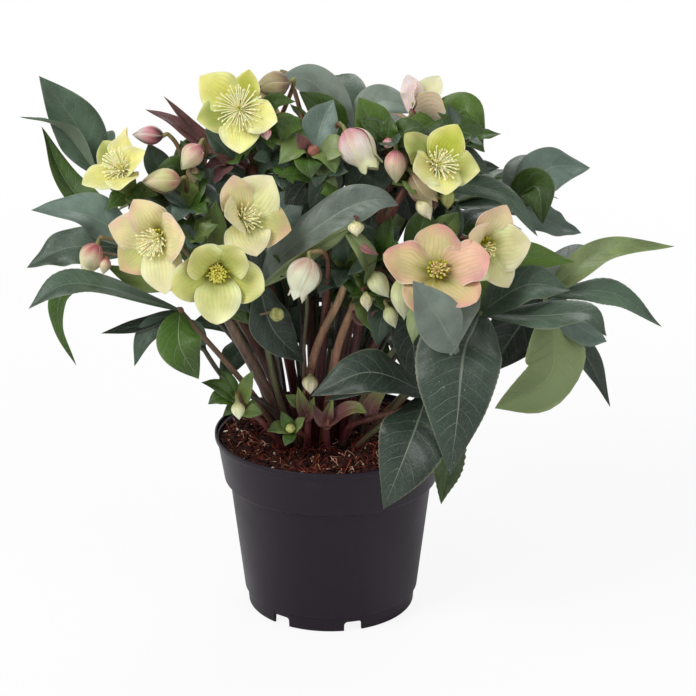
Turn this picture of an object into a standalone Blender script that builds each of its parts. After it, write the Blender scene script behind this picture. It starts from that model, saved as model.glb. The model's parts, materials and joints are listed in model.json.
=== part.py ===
"""A hellebore in a 3 litre nursery container: the pot, its potting mix, and the plant piece by piece.

The plant is drawn in centimetres and built in metres. +Z is up, -Y is the plant's front, and the
origin is the centre of the pot's underside, where the pot stands on a flat pad.
"""

import math

import bmesh
import bpy
from mathutils import Matrix, Vector

CM = 0.01
GAP = 0.03  # clearance between pieces that touch, in cm
UP = Vector((0, 0, 1))

# Pot: radii and heights in cm, outside first. The wall is drawn from the outside inwards.
POT_SEGMENTS = 36
POT_FLOOR = 0.9
POT_WALL = 0.15
POT_OUTSIDE = [(6.9, 0.0), (7.0, 1.3), (7.2, 1.35), (8.3, 10.8), (8.75, 11.1), (9.3, 14.5), (9.5, 14.6), (9.5, 15.0)]
POT_PAD_RADIUS = 1.5
POT_NOTCH = (1.5, 0.8)  # width and height of each gap in the foot ring
POT_NOTCH_ANGLES = [-126, -75, 27, 78, 130, 181]

# Potting mix: it lies this far below the rim at the wall, and rises to the crown.
MIX_EDGE = 14.4
MIX_CROWN = 14.8
ROOT_DEPTH = 1.2  # how far the stalks stand in the mix
CROWN = Vector((-1.0, -0.3, MIX_CROWN))

STALK_SIDES = 5
STALK_STEPS = 6
BRANCH_STEPS = 4
HUB_RADIUS = 0.35
LEAFLET_STEPS = 5
SEPAL_STEPS = 3
SEPALS = 5
RECEPTACLE = (0.4, 0.3)  # radius, and half its height
STAMEN_SIDES = 8
BUD_SIDES = 7

# Leaves. hub: where the leaflets meet. root: place of the stalk on the crown, as an angle round it and
# a distance from its middle. bow: points that the stalk passes. A leaflet has the points that its
# midrib passes after the hub, its width, and the way that its upper face looks.
LEAVES = {
    "left_top": dict(
        hub=(-18.5, 1, 36.5), root=(170, 3.0), bow=[(-8, 2, 25)],
        leaflets=[
            ([(-19.8, 0.8, 40.3), (-22.5, 0, 44.5)], 4.0, (0.15, -0.95, 0.3)),
            ([(-21, 0, 40.3), (-24, -1, 41.5)], 2.6, (0.3, 0.4, 0.9)),
            ([(-19, 5, 38), (-20.5, 8.5, 36.5)], 3.6, (-0.3, 0, 1)),
        ]),
    "left_mid": dict(
        hub=(-14.5, -5, 32), root=(192, 3.0), bow=[(-7, -3, 23)],
        leaflets=[
            ([(-20, -2.5, 36), (-22.5, 0, 40.5)], 2.4, (0.6, -0.7, 0.4)),
            ([(-18.5, -6, 35), (-22.5, -8, 36)], 3.8, (-0.1, -0.5, 0.8)),
            ([(-20, -4.5, 32), (-23.5, -5, 30.5)], 3.2, (-0.2, -0.7, 0.7)),
            ([(-18, -1, 31), (-21, 3, 29)], 3.2, (-0.4, 0, 0.9)),
            ([(-13.6, -1.8, 32.8), (-12.3, 1.2, 32.2)], 2.6, (0.1, 0, 1)),
        ]),
    "left_low": dict(
        hub=(-11.5, -8, 28), root=(214, 3.0), bow=[(-6, -5.5, 20)],
        leaflets=[
            ([(-17, -10, 30.5), (-20, -11, 31), (-22.5, -12, 29.5)], 3.2, (0, -0.35, 1)),
            ([(-16, -7, 29.2), (-19.4, -7.4, 28.6), (-20.6, -7.8, 26.2), (-19.5, -8, 23.5)], 1.8, (-0.5, -0.8, 0.4)),
            ([(-11.5, -10, 26), (-10, -11, 23.5)], 3.4, (0.3, -0.9, 0.2)),
            ([(-14.5, -8.5, 27), (-17.5, -9, 26.5)], 1.4, (0, -0.5, 0.9)),
            ([(-14, -9, 26.5), (-15, -9.5, 24)], 1.7, (-0.4, -0.9, 0.2)),
        ]),
    "front_low": dict(
        hub=(7.5, -9, 21.5), root=(318, 3.2), bow=[(3.5, -5, 16.8)],
        leaflets=[
            ([(3, -11, 24), (-1.5, -11.5, 22.3)], 3.8, (0.1, -0.6, 0.8)),
            ([(6, -13, 19), (4, -14, 14)], 5.2, (-0.3, -0.9, 0.3)),
            ([(4, -8, 22), (-0.5, -8.5, 20.7)], 2.6, (0, -0.2, 1)),
            ([(9, -10.5, 17.5), (8.5, -12, 13.5)], 3.0, (0.3, -0.9, 0.2)),
        ]),
    "right_mid": dict(
        hub=(11.5, -7.5, 27.5), root=(338, 3.0), bow=[(6, -4.5, 20)],
        leaflets=[
            ([(10, -12.5, 26), (9.5, -14.5, 22), (9, -14.5, 17)], 6.4, (-0.1, -0.95, 0.2)),
            ([(15, -7.3, 29.7), (18.5, -7, 29.2)], 4.0, (-0.3, -0.5, 0.8)),
            ([(14, -5, 31), (19, -4.5, 30.8)], 2.4, (0, -0.6, 0.8)),
            ([(16, -9, 27.8), (19.5, -9.8, 28.2), (21, -10, 26.5)], 3.4, (0, -0.35, 1)),
        ]),
    "right_front": dict(
        hub=(9, -6.5, 29.3), root=(300, 2.8), bow=[(4, -4.5, 22)],
        leaflets=[
            ([(8.8, -11, 29.2), (9, -13.5, 26.2)], 5.0, (0, -0.9, 0.5)),
            ([(6.8, -9.5, 28.3), (6.2, -11, 26.3)], 2.0, (-0.5, -0.7, 0.5)),
            ([(6.6, -6.1, 26), (6.9, -5.8, 20.8)], 3.8, (-0.1, -0.9, 0.2)),
        ]),
    "right_far": dict(
        hub=(17, -3, 27.5), root=(0, 3.0), bow=[(8, -1, 20)],
        leaflets=[
            ([(21.5, -2.5, 31), (27, -3, 31.5)], 2.4, (0.1, -0.7, 0.7)),
            ([(22, -4, 28), (26, -5, 25.5)], 2.4, (0.2, -0.5, 0.8)),
            ([(17.4, -5, 25), (16.3, -5.8, 21.8), (12.9, -6.5, 19.3)], 5.0, (-0.4, 0.9, -0.1)),
            ([(19.8, -3.8, 25), (21.9, -3.6, 23.8)], 2.8, (0.3, -0.8, 0.5)),
            ([(20.5, -2, 22), (22.5, -3, 18)], 2.0, (0.5, -0.7, 0.4)),
            ([(20, 2.5, 29), (24, 6, 28)], 3.4, (0.1, -0.2, 1)),
        ]),
    "right_top": dict(
        hub=(14.5, 1, 34), root=(20, 3.0), bow=[(7, 1.5, 24)],
        leaflets=[
            ([(17.5, 2.5, 36.3), (21, 4, 36)], 3.8, (-0.2, -0.7, 0.6)),
            ([(16.5, -1, 35.8), (17, -2, 33)], 3.4, (-0.2, -0.9, 0.2)),
            ([(17.5, 0, 32.6), (20, 0, 31.7)], 2.6, (0, -0.6, 0.8)),
            ([(16, 5, 36), (18, 9, 36)], 3.4, (0, 0, 1)),
        ]),
    "centre": dict(
        hub=(-5.5, -6, 29.5), root=(240, 2.8), bow=[(-4.5, -4.5, 21)],
        leaflets=[
            ([(-3, -6.9, 32.3), (0.8, -7.3, 35.4), (3.4, -7.5, 36.5), (5.2, -7.6, 36.2)], 4.0, (-0.3, -0.8, 0.5)),
            ([(-4.6, -4.8, 32.6), (-3.4, -4.3, 35), (-1.6, -3.8, 36.4)], 3.8, (-0.3, -0.9, 0.2)),
            ([(-4.5, -6.5, 26), (-2, -6, 23)], 3.4, (0.4, -0.8, 0.4)),
        ]),
    "top": dict(
        hub=(1.8, 3, 38.5), root=(75, 3.0), bow=[(0.8, 3.5, 26)],
        leaflets=[
            ([(-1, 3, 43), (-4, 3, 43.7)], 3.4, (0, -0.8, 0.6)),
            ([(4, 4, 41.5), (7, 4.5, 40.5)], 3.0, (0, -0.8, 0.6)),
            ([(1, 8, 42), (-1, 13, 41.5)], 3.6, (0, 0.2, 1)),
            ([(5, 6.5, 39.5), (8.5, 8.5, 37.5)], 3.4, (0.2, 0, 1)),
            ([(-1.5, 4, 37.3), (-5.5, 4.6, 36)], 3.2, (-0.2, 0, 1)),
            ([(0.2, 1, 37), (-1.3, 0, 33.5)], 4.0, (-0.2, -0.9, 0.3)),
            ([(3.2, 0.9, 37.2), (2.4, -0.7, 33.6)], 4.2, (0.2, -0.9, 0.3)),
        ]),
    "back_left": dict(
        hub=(-9.5, 9, 31), root=(140, 3.0), bow=[(-5.5, 5, 22)],
        leaflets=[
            ([(-14, 12, 32), (-18.5, 14, 29.5)], 4.2, (-0.2, 0.2, 1)),
            ([(-11, 14, 33), (-13, 19, 31)], 4.2, (-0.1, 0.3, 1)),
            ([(-7, 13, 34), (-6, 18, 34)], 3.8, (0.1, 0.3, 1)),
            ([(-12, 11, 28), (-15, 13, 23.5)], 4.0, (-0.5, 0.5, 0.6)),
            ([(-14, 7, 33), (-18, 6.5, 32.5)], 3.6, (-0.2, -0.3, 0.9)),
            ([(-7, 5, 33), (-6, 1.5, 34.5)], 3.6, (0.3, -0.6, 0.8)),
        ]),
    "back": dict(
        hub=(1, 11.5, 27), root=(95, 3.4), bow=[(0, 6, 20)],
        leaflets=[
            ([(-3, 16, 28), (-6, 19.5, 25)], 4.2, (-0.1, 0.3, 1)),
            ([(1.5, 16.5, 28.5), (2, 21, 26)], 4.6, (0, 0.3, 1)),
            ([(6, 15, 28.5), (10, 18, 26)], 4.2, (0.1, 0.3, 1)),
            ([(1, 14, 23), (0.5, 15.5, 18)], 4.2, (0, 0.9, 0.4)),
            ([(-3, 9.5, 30), (-5.5, 8.5, 33)], 3.8, (-0.2, -0.8, 0.6)),
            ([(4.5, 9.5, 30), (6.5, 7.5, 32.5)], 3.8, (0.2, -0.8, 0.6)),
        ]),
    "back_right": dict(
        hub=(10, 9, 31.5), root=(45, 3.0), bow=[(5, 5, 22)],
        leaflets=[
            ([(15, 11, 33), (19.5, 12.5, 31)], 4.2, (0.2, 0.2, 1)),
            ([(13, 14, 33), (15.5, 18, 30.5)], 4.2, (0.2, 0.3, 1)),
            ([(9, 14, 34.5), (8.5, 18.5, 34.5)], 3.8, (0, 0.3, 1)),
            ([(14, 11, 28), (17, 13, 23.5)], 4.0, (0.5, 0.5, 0.6)),
            ([(15, 7, 32), (19, 6, 31)], 3.6, (0.2, -0.3, 0.9)),
            ([(8.5, 5, 34), (7.5, 2.5, 36.5)], 3.6, (-0.2, -0.7, 0.7)),
            ([(8.3, 4.5, 32.4), (6.6, 1.5, 31.5)], 4.2, (-0.1, -0.8, 0.6)),
        ]),
}

# Flowers. at: the receptacle. facing: the way the flower looks. roll: turn of the first sepal.
# lift: how far the sepals stand forward of flat, in degrees. width: share of the sepal's length.
FLOWERS = {
    "top_left": dict(at=(-7, -4, 42.9), facing=(0, -0.9, 0.4), length=3.5, lift=12, width=0.85, roll=60),
    "far_left": dict(at=(-15.9, -5, 38), facing=(-0.2, -0.7, 0.7), length=3.5, lift=24, width=0.75, roll=85),
    "left": dict(at=(-13.2, -9.5, 34.2), facing=(-0.35, -0.9, 0.1), length=4.1, lift=24, width=0.9, roll=30),
    "front_left": dict(at=(-8.4, -11, 32.2), facing=(0.05, -1, 0.05), length=4.3, lift=28, width=0.95, roll=-92),
    "inner_left": dict(at=(-6.4, -8, 35.4), facing=(0.25, -0.8, 0.5), length=3.7, lift=30, width=0.9, roll=65),
    "top_right": dict(at=(8, -6, 39), facing=(0.25, -0.8, 0.5), length=3.5, lift=28, width=0.85, roll=55),
    "front_right": dict(at=(8, -11, 32), facing=(0, -0.64, 0.77), length=4.5, lift=14, width=0.95, roll=90),
    "right": dict(at=(11.8, -7.2, 32.6), facing=(0.45, -0.85, 0.25), length=3.8, lift=32, width=0.85, roll=75),
    "crest": dict(at=(6.5, 0, 41.5), facing=(0.62, 0.15, 0.77), length=3.5, lift=50, width=0.8, roll=90),
    "back_left": dict(at=(-7, 10, 38), facing=(-0.3, 0.9, 0.35), length=3.9, lift=20, width=0.9, roll=40),
    "back_right": dict(at=(3.6, 11.8, 36.2), facing=(0.3, 0.85, 0.4), length=3.9, lift=18, width=0.9, roll=10),
}

# Buds: the middle of the base, the way the bud points, its length and its radius.
BUDS = {
    "left_top_1": ((-12.8, -3, 40.5), (-1, 0.1, 0), 2.4, 0.75),
    "left_top_2": ((-9.9, -5, 40.2), (-0.6, -0.3, -0.75), 2.3, 0.85),
    "left_top_3": ((-11.4, -6, 37.8), (-1, -0.2, 0), 2.8, 1.0),
    "left_low": ((-17.6, -8, 33), (-0.35, -0.1, -0.9), 2.3, 0.95),
    "centre_1": ((-1.6, -9.5, 32.6), (-0.3, -0.25, -0.95), 3.4, 1.25),
    "centre_2": ((1.2, -4.5, 41.2), (0.55, -0.3, -0.7), 3.8, 1.35),
    "top_left": ((-3.2, -1, 44.2), (-0.9, -0.3, -0.1), 2.6, 1.05),
    "centre_right_1": ((5, -5, 39.8), (0, -0.2, -1), 2.6, 0.85),
    "centre_right_2": ((6.3, -5, 37.9), (0.6, -0.3, -0.7), 2.9, 1.05),
    "right_1": ((3.1, -8, 31), (0.55, -0.2, -0.75), 2.4, 0.75),
    "right_2": ((4.4, -7.6, 28.1), (0.35, -0.1, -1), 1.8, 0.55),
    "right_3": ((5.3, -8.5, 30.6), (0.1, 0, -1), 3.3, 0.8),
    "shoot_left": ((-7.2, -8.9, 20.8), (0.1, -0.5, -0.9), 1.4, 0.5),
    "back": ((-4, 9, 42.5), (-0.3, 0.5, -0.7), 2.8, 1.0),
}

# Flowering stems. root: as for a leaf. trunk: points after the root. radius: at the root and at the top.
# branches: how far up the trunk, what the branch carries, and points that it passes.
# bracts: how far up the trunk, then a leaflet as above.
STEMS = {
    "left_low": dict(
        root=(222, 1.6), trunk=[(-5.5, -4.5, 21), (-8, -6.5, 27), (-9.5, -7, 30.5)], radius=(0.5, 0.35),
        branches=[(0.97, "flower_front_left", []), (1.0, "flower_left", []), (0.8, "bud_left_low", [(-14, -7.2, 32.6), (-17, -8, 33.8)])],
        bracts=[
            (0.92, [(-10.5, -6, 32.6), (-11.2, -6, 34.4)], 1.8, (-0.3, -0.9, 0.3)),
            (0.97, [(-9, -5.5, 33.5), (-8.7, -5.5, 36)], 2.0, (0.2, -0.9, 0.3)),
        ]),
    "left_top": dict(
        root=(185, 1.6), trunk=[(-5, -2, 21), (-9, -2.5, 29), (-11.5, -3, 35.5)], radius=(0.45, 0.3),
        branches=[
            (1.0, "flower_far_left", []),
            (0.98, "bud_left_top_1", [(-11.5, -3, 39)]),
            (0.93, "bud_left_top_2", [(-9.5, -4, 39)]),
            (0.96, "bud_left_top_3", []),
        ],
        bracts=[
            (0.97, [(-13.3, -2.5, 38), (-14, -2.5, 39.8)], 2.0, (0.2, -0.8, 0.5)),
            (0.95, [(-14, -4, 35.8), (-15.5, -5, 35.2)], 2.2, (-0.2, -0.5, 0.8)),
            (0.95, [(-9.8, -4, 36), (-8.6, -4.5, 35)], 2.2, (0.2, -0.7, 0.7)),
        ]),
    "centre_left": dict(
        root=(145, 1.6), trunk=[(-3.5, -0.5, 22), (-5.5, -1.5, 31), (-6, -2, 38)], radius=(0.45, 0.3),
        branches=[
            (1.0, "flower_top_left", []),
            (0.95, "bud_top_left", [(-3.5, -0.5, 42)]),
            (0.75, "flower_inner_left", []),
        ],
        bracts=[
            (0.98, [(-9.5, -2.6, 40), (-12.7, -3, 43.6)], 1.2, (0.4, -0.8, 0.4)),
            (0.96, [(-9.5, -2.8, 39.6), (-12, -3, 41.6), (-14.2, -2, 42.3)], 1.4, (0, -0.6, 0.8)),
            (0.97, [(-4.5, -3, 39), (-3.8, -3.5, 40.8)], 2.0, (0.2, -0.8, 0.5)),
            (0.93, [(-7.8, -3.2, 37.6), (-8.8, -4, 36.8)], 2.0, (-0.2, -0.6, 0.7)),
        ]),
    "centre": dict(
        root=(260, 1.6), trunk=[(-0.8, -2.5, 21), (-0.3, -3.2, 29), (-1.2, -3.8, 39.3)], radius=(0.45, 0.3),
        branches=[
            (0.9, "bud_centre_2", [(0.4, -3.4, 41)]),
            (0.5, "bud_centre_1", [(-0.2, -8.6, 32.2)]),
        ],
        bracts=[
            (1.0, [(-2.5, -4.7, 40), (-3.9, -5.3, 38.8)], 2.4, (-0.1, -0.6, 0.8)),
            (1.0, [(-0.2, -5, 39.6), (0.4, -5.8, 38.2)], 2.4, (0.1, -0.6, 0.8)),
            (1.0, [(-0.6, -3.2, 41.5), (0.3, -2.6, 43.2)], 2.6, (-0.2, -0.9, 0.3)),
        ]),
    "centre_right": dict(
        root=(310, 1.6), trunk=[(0.6, -2, 20), (2.5, -2.8, 29), (4.5, -3, 36), (4.6, -3, 39.5)], radius=(0.45, 0.3),
        branches=[
            (0.96, "bud_centre_right_1", [(4.8, -3.9, 40.3)]),
            (1.0, "flower_crest", [(6, -1.5, 40)]),
            (0.9, "flower_top_right", []),
            (0.86, "bud_centre_right_2", [(5.9, -4, 38)]),
        ],
        bracts=[
            (0.99, [(3.2, -3, 41.5), (2.2, -3.2, 43.5)], 2.6, (0.2, -0.8, 0.5)),
            (0.97, [(8.5, -2.8, 41.3), (12, -2, 42.3)], 2.8, (0, -0.6, 0.8)),
            (0.9, [(9.5, -3, 36.8), (13.5, -4.3, 36), (16, -5.3, 33)], 2.4, (0.1, -0.6, 0.8)),
        ]),
    "right": dict(
        root=(345, 1.6), trunk=[(2, -2.5, 20), (4.5, -4.5, 26), (6.5, -5, 31)], radius=(0.45, 0.3),
        branches=[
            (1.0, "flower_front_right", []),
            (0.97, "flower_right", [(10, -5.5, 33)]),
            (0.85, "bud_right_1", [(3.2, -6.5, 31.2)]),
            (0.75, "bud_right_2", [(4.8, -6.5, 28.3)]),
            (0.92, "bud_right_3", [(5.4, -7.4, 31)]),
        ],
        bracts=[
            (0.98, [(7, -5, 33.5), (7.5, -5, 35.5)], 2.2, (0, -0.9, 0.4)),
        ]),
    "shoot_left": dict(
        root=(238, 3.6), trunk=[(-5.2, -6.5, 18), (-7, -7.8, 20.3)], radius=(0.25, 0.18),
        branches=[(0.97, "bud_shoot_left", [(-7.2, -8.2, 21.3)])],
        bracts=[
            (0.95, [(-8.5, -8.3, 21), (-9.5, -8.5, 20.5)], 1.3, (0, -0.6, 0.8)),
            (0.97, [(-7.9, -7.5, 22), (-8.6, -7.3, 23)], 1.2, (0.3, -0.6, 0.8)),
        ]),
    "shoot_front": dict(
        root=(262, 3.4), trunk=[(-2, -5, 16.3), (-3, -6.2, 17.3)], radius=(0.22, 0.16),
        branches=[],
        bracts=[
            (0.97, [(-4, -6.6, 17.8), (-5, -7, 17.6)], 1.2, (0, -0.6, 0.8)),
            (0.97, [(-2.6, -6.6, 18), (-2, -7, 18.8)], 1.0, (0, -0.6, 0.8)),
        ]),
    "back": dict(
        root=(95, 1.6), trunk=[(-1.5, 3, 21), (-1.5, 6, 30), (-1, 7, 36)], radius=(0.45, 0.3),
        branches=[
            (1.0, "flower_back_left", []),
            (0.97, "flower_back_right", []),
            (0.95, "bud_back", [(-3, 7.6, 42)]),
        ],
        bracts=[
            (0.97, [(-1, 8.5, 38), (-0.5, 10, 39.5)], 2.4, (0, 0.8, 0.5)),
            (0.95, [(-3, 9, 35.8), (-4.5, 11, 35)], 2.4, (-0.1, 0.5, 0.8)),
            (0.95, [(1.2, 9, 35.8), (3, 11, 35)], 2.4, (0.1, 0.5, 0.8)),
        ]),
}

COLOURS = {
    "pot": (0.016, 0.014, 0.017),
    "potting_mix": (0.06, 0.02, 0.01),
    "leaf": (0.03, 0.07, 0.04),
    "flower": (0.7, 0.68, 0.28),
    "stamens": (0.8, 0.7, 0.2),
    "bud": (0.72, 0.5, 0.45),
    "stem": (0.12, 0.05, 0.04),
}
ROUGHNESS = {"pot": 0.45, "potting_mix": 0.95, "leaf": 0.5, "flower": 0.6, "stamens": 0.7, "bud": 0.55, "stem": 0.5}


# Curves -----------------------------------------------------------------------------------------


def smooth_curve(points, steps):
    """steps + 1 points, evenly spaced in parameter, on a smooth curve through the given points."""
    points = [Vector(point) for point in points]
    first = points[0] * 2 - points[1]
    last = points[-1] * 2 - points[-2]
    points = [first, *points, last]
    spans = len(points) - 3
    curve = []
    for step in range(steps + 1):
        place = step / steps * spans
        span = min(int(place), spans - 1)
        a, b, c, d = points[span : span + 4]
        t = place - span
        curve.append(0.5 * (2 * b + (c - a) * t + (2 * a - 5 * b + 4 * c - d) * t**2 + (3 * b - a - 3 * c + d) * t**3))
    return curve


def tangents(points):
    """The unit direction of a run of points at each of them."""
    last = len(points) - 1
    return [(points[min(i + 1, last)] - points[max(i - 1, 0)]).normalized() for i in range(last + 1)]


def root_of(angle, distance):
    """The foot of a stalk inside the potting mix."""
    turn = math.radians(angle)
    return Vector((CROWN.x + distance * math.cos(turn), CROWN.y + distance * math.sin(turn), MIX_CROWN - ROOT_DEPTH))


# Solids ----------------------------------------------------------------------------------------


def make_object(name, rings, first_cap, last_cap):
    """A closed mesh through rings of points. A cap is a point in front of the end ring, or None for a flat end."""
    mesh = bmesh.new()
    loops = [[mesh.verts.new(point * CM) for point in ring] for ring in rings]
    count = len(loops[0])
    for low, high in zip(loops, loops[1:]):
        for i in range(count):
            j = (i + 1) % count
            # The diagonals alternate, so that the two skins of a thin blade are split alike and don't cross.
            if i % 2 == 0:
                mesh.faces.new((low[i], low[j], high[j]))
                mesh.faces.new((low[i], high[j], high[i]))
            else:
                mesh.faces.new((low[i], low[j], high[i]))
                mesh.faces.new((low[j], high[j], high[i]))
    for loop, cap in ((loops[0][::-1], first_cap), (loops[-1], last_cap)):
        if cap is None:
            mesh.faces.new(loop)
            continue
        point = mesh.verts.new(cap * CM)
        for i in range(count):
            mesh.faces.new((loop[i], loop[(i + 1) % count], point))
    bmesh.ops.recalc_face_normals(mesh, faces=mesh.faces)
    data = bpy.data.meshes.new(name)
    mesh.to_mesh(data)
    mesh.free()
    made = bpy.data.objects.new(name, data)
    bpy.context.scene.collection.objects.link(made)
    return made


def tube(name, points, radii, sides=STALK_SIDES):
    """A tapered round stalk along a run of points."""
    directions = tangents(points)
    side = directions[0].orthogonal().normalized()
    rings = []
    for i, (point, along) in enumerate(zip(points, directions)):
        side = (side - along * side.dot(along)).normalized()
        across = along.cross(side)
        radius = radii[0] + (radii[1] - radii[0]) * i / (len(points) - 1)
        turns = [2 * math.pi * k / sides for k in range(sides)]
        rings.append([point + radius * (math.cos(turn) * side + math.sin(turn) * across) for turn in turns])
    return make_object(name, rings, None, None)


def blade(name, points, width, face, steps, widest, thick, fold):
    """A leaflet, bract or sepal: a thin pointed shape, creased along its midrib."""
    curve = smooth_curve(points, steps)
    face = Vector(face).normalized()
    rings = []
    for i, along in enumerate(tangents(curve)[:-1]):
        across = along.cross(face).normalized()
        upper = across.cross(along)
        share = i / steps
        half = width / 2 * max(math.sin(math.pi * share**widest), 0.16)
        lift = upper * half * fold
        rings.append([
            curve[i] - across * half + lift,
            curve[i] + upper * thick,
            curve[i] + across * half + lift,
            curve[i] - upper * thick,
        ])
    return make_object(name, rings, None, curve[-1])


def leaflet(name, hub, points, width, face):
    start = hub + (hub - Vector(points[0])).normalized() * 0.25
    return blade(name, [start, *points], width, face, LEAFLET_STEPS, 0.85, 0.1, 0.22)


def lathe(name, profile, segments):
    """A closed turned shape. The profile runs from the axis, outside, over the top and back to the axis."""
    rings = []
    for radius, height in profile[1:-1]:
        turns = [2 * math.pi * k / segments for k in range(segments)]
        rings.append([Vector((radius * math.cos(turn), radius * math.sin(turn), height)) for turn in turns])
    first, last = (Vector((0, 0, height)) for _, height in (profile[0], profile[-1]))
    return make_object(name, rings, first, last)


def combine(name, solids, operation="UNION"):
    """The first solid joined with the others, or with the others cut from it.

    Thin blades and stalks cross at shallow angles here. The exact solver leaves loose chips and small
    voids where they do, so this takes the manifold solver, which keeps each piece one closed body.
    """
    base, *others = solids
    if others:
        group = bpy.data.collections.new(name + "_others")
        bpy.context.scene.collection.children.link(group)
        for other in others:
            bpy.context.scene.collection.objects.unlink(other)
            group.objects.link(other)
        boolean = base.modifiers.new("combine", "BOOLEAN")
        boolean.operation = operation
        boolean.solver = "MANIFOLD"
        boolean.operand_type = "COLLECTION"
        boolean.collection = group
        graph = bpy.context.evaluated_depsgraph_get()
        joined = bpy.data.meshes.new_from_object(base.evaluated_get(graph))
        base.modifiers.clear()
        base.data = joined
        for other in others:
            bpy.data.objects.remove(other)
        bpy.data.collections.remove(group)
    base.name = name
    base.data.name = name
    return base


def finish(made, look):
    """Gives a solid its own material and smooth shading."""
    material = bpy.data.materials.new(made.name)
    material.use_nodes = True
    shader = material.node_tree.nodes["Principled BSDF"]
    shader.inputs["Base Color"].default_value = (*COLOURS[look], 1)
    shader.inputs["Roughness"].default_value = ROUGHNESS[look]
    shader.inputs["Metallic"].default_value = 0
    made.data.materials.clear()
    made.data.materials.append(material)
    made.data.shade_smooth()
    made.data.set_sharp_from_angle(angle=math.radians(40))


# Pot and potting mix -----------------------------------------------------------------------------


def inner_wall():
    """The pot's inside, from the rim down to the floor."""
    above = [(radius, height) for radius, height in POT_OUTSIDE if height > POT_FLOOR + 1]
    return [(radius - POT_WALL, height) for radius, height in reversed(above)] + [(6.8, POT_FLOOR + POT_WALL)]


def make_pot():
    under = [(0, 0), (POT_PAD_RADIUS, 0), (POT_PAD_RADIUS, POT_FLOOR), (6.7, POT_FLOOR), (6.7, 0)]
    floor = [(0, POT_FLOOR + POT_WALL)]
    body = lathe("pot", under + POT_OUTSIDE + inner_wall() + floor, POT_SEGMENTS)
    width, height = POT_NOTCH
    notches = []
    for degrees in POT_NOTCH_ANGLES:
        turn = Matrix.Rotation(math.radians(degrees), 3, "Z")
        corners = [(6, -1), (8, -1), (8, height), (6, height)]
        sides = [[turn @ Vector((r, side * width / 2, z)) for r, z in corners] for side in (-1, 1)]
        notches.append(make_object("notch", sides, None, None))
    finish(combine("pot", [body, *notches], "DIFFERENCE"), "pot")


def make_mix(sockets):
    wall = [(radius - GAP, height) for radius, height in inner_wall() if height < MIX_EDGE]
    rim = [(9.35 - POT_WALL - GAP - 0.1, MIX_EDGE), (5.0, MIX_CROWN - 0.15)]
    bottom = POT_FLOOR + POT_WALL + GAP
    foot = wall[-1][0] - 0.05
    profile = [(0, bottom), (foot, bottom), *wall[-2::-1], *rim, (0, MIX_CROWN)]
    body = lathe("potting_mix", profile, POT_SEGMENTS)
    finish(combine("potting_mix", [body, *sockets], "DIFFERENCE"), "potting_mix")


# Plant -------------------------------------------------------------------------------------------


def stalk_with_socket(name, points, radii):
    """A stalk from its root, and the cutter for the hole that it stands in."""
    curve = smooth_curve(points, STALK_STEPS)
    stalk = tube(name, curve, radii)
    grown = radii[0] + 1.3 * GAP
    down = (curve[0] - curve[1]).normalized()
    socket = tube(name + "_socket", [curve[0] + down * 1.3 * GAP, *curve[1:3]], (grown, grown))
    return stalk, socket


def make_leaf(name, leaf):
    root = root_of(*leaf["root"])
    hub = Vector(leaf["hub"])
    points = [root, *leaf["bow"], hub]
    stalk, socket = stalk_with_socket(name, points, (0.28, 0.2))
    blades = [leaflet(name + "_blade", hub, *spec) for spec in leaf["leaflets"]]
    rise = (hub - Vector(leaf["bow"][-1])).normalized() * HUB_RADIUS
    knuckle = tube(name + "_knuckle", [hub - rise, hub, hub + rise], (HUB_RADIUS, HUB_RADIUS))
    finish(combine("leaf_" + name, [stalk, knuckle, *blades]), "leaf")
    return socket


def make_flower(name, flower):
    at = Vector(flower["at"])
    facing = Vector(flower["facing"]).normalized()
    right = UP.cross(facing).normalized()
    above = facing.cross(right)
    length = flower["length"]
    lift = math.radians(flower["lift"])
    radius, half = RECEPTACLE
    solids = [tube("receptacle", [at - facing * half, at + facing * half], (radius, radius), 8)]
    for k in range(SEPALS):
        turn = math.radians(flower["roll"] + 360 / SEPALS * k)
        out = math.cos(turn) * right + math.sin(turn) * above
        middle = at + (out * math.cos(0.8 * lift) + facing * math.sin(0.8 * lift)) * length * 0.55
        tip = at + (out * math.cos(lift) + facing * math.sin(lift)) * length
        inward = facing - out * math.sin(lift)
        sepal = [at + out * 0.15, middle, tip]
        solids.append(blade("sepal", sepal, length * flower["width"], inward, SEPAL_STEPS, 0.85, 0.05, 0.2))
    finish(combine("flower_" + name, solids), "flower")
    foot = at + facing * (half + GAP)
    spread = 1.5 - 0.8 * math.sin(lift)
    heights = [(0.3, 0.0), (0.6 * spread, 0.55), (spread, 1.15), (0.6 * spread, 1.35)]
    rings = []
    for ring_radius, height in heights:
        turns = [2 * math.pi * k / STAMEN_SIDES for k in range(STAMEN_SIDES)]
        spokes = [math.cos(turn) * right + math.sin(turn) * above for turn in turns]
        rings.append([foot + facing * height + spoke * ring_radius for spoke in spokes])
    finish(make_object("stamens_" + name, rings, None, foot + facing * 1.45), "stamens")


def make_bud(name, base, points_to, length, radius):
    base = Vector(base)
    along = Vector(points_to).normalized()
    side = along.orthogonal().normalized()
    across = along.cross(side)
    rings = []
    for share, fullness in ((0, 0.3), (0.15, 0.75), (0.4, 1), (0.7, 0.8), (0.9, 0.4)):
        turns = [2 * math.pi * k / BUD_SIDES for k in range(BUD_SIDES)]
        middle = base + along * length * share
        reach = radius * fullness
        rings.append([middle + reach * (math.cos(turn) * side + math.sin(turn) * across) for turn in turns])
    finish(make_object("bud_" + name, rings, None, base + along * length), "bud")


def end_of_branch(target):
    """Where a branch meets the back of what it carries, and the way that back looks."""
    kind, name = target.split("_", 1)
    if kind == "flower":
        facing = Vector(FLOWERS[name]["facing"]).normalized()
        return Vector(FLOWERS[name]["at"]) - facing * (RECEPTACLE[1] + 2 * GAP), facing
    base, points_to, _, _ = BUDS[name]
    facing = Vector(points_to).normalized()
    return Vector(base) - facing * 3 * GAP, facing


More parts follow.
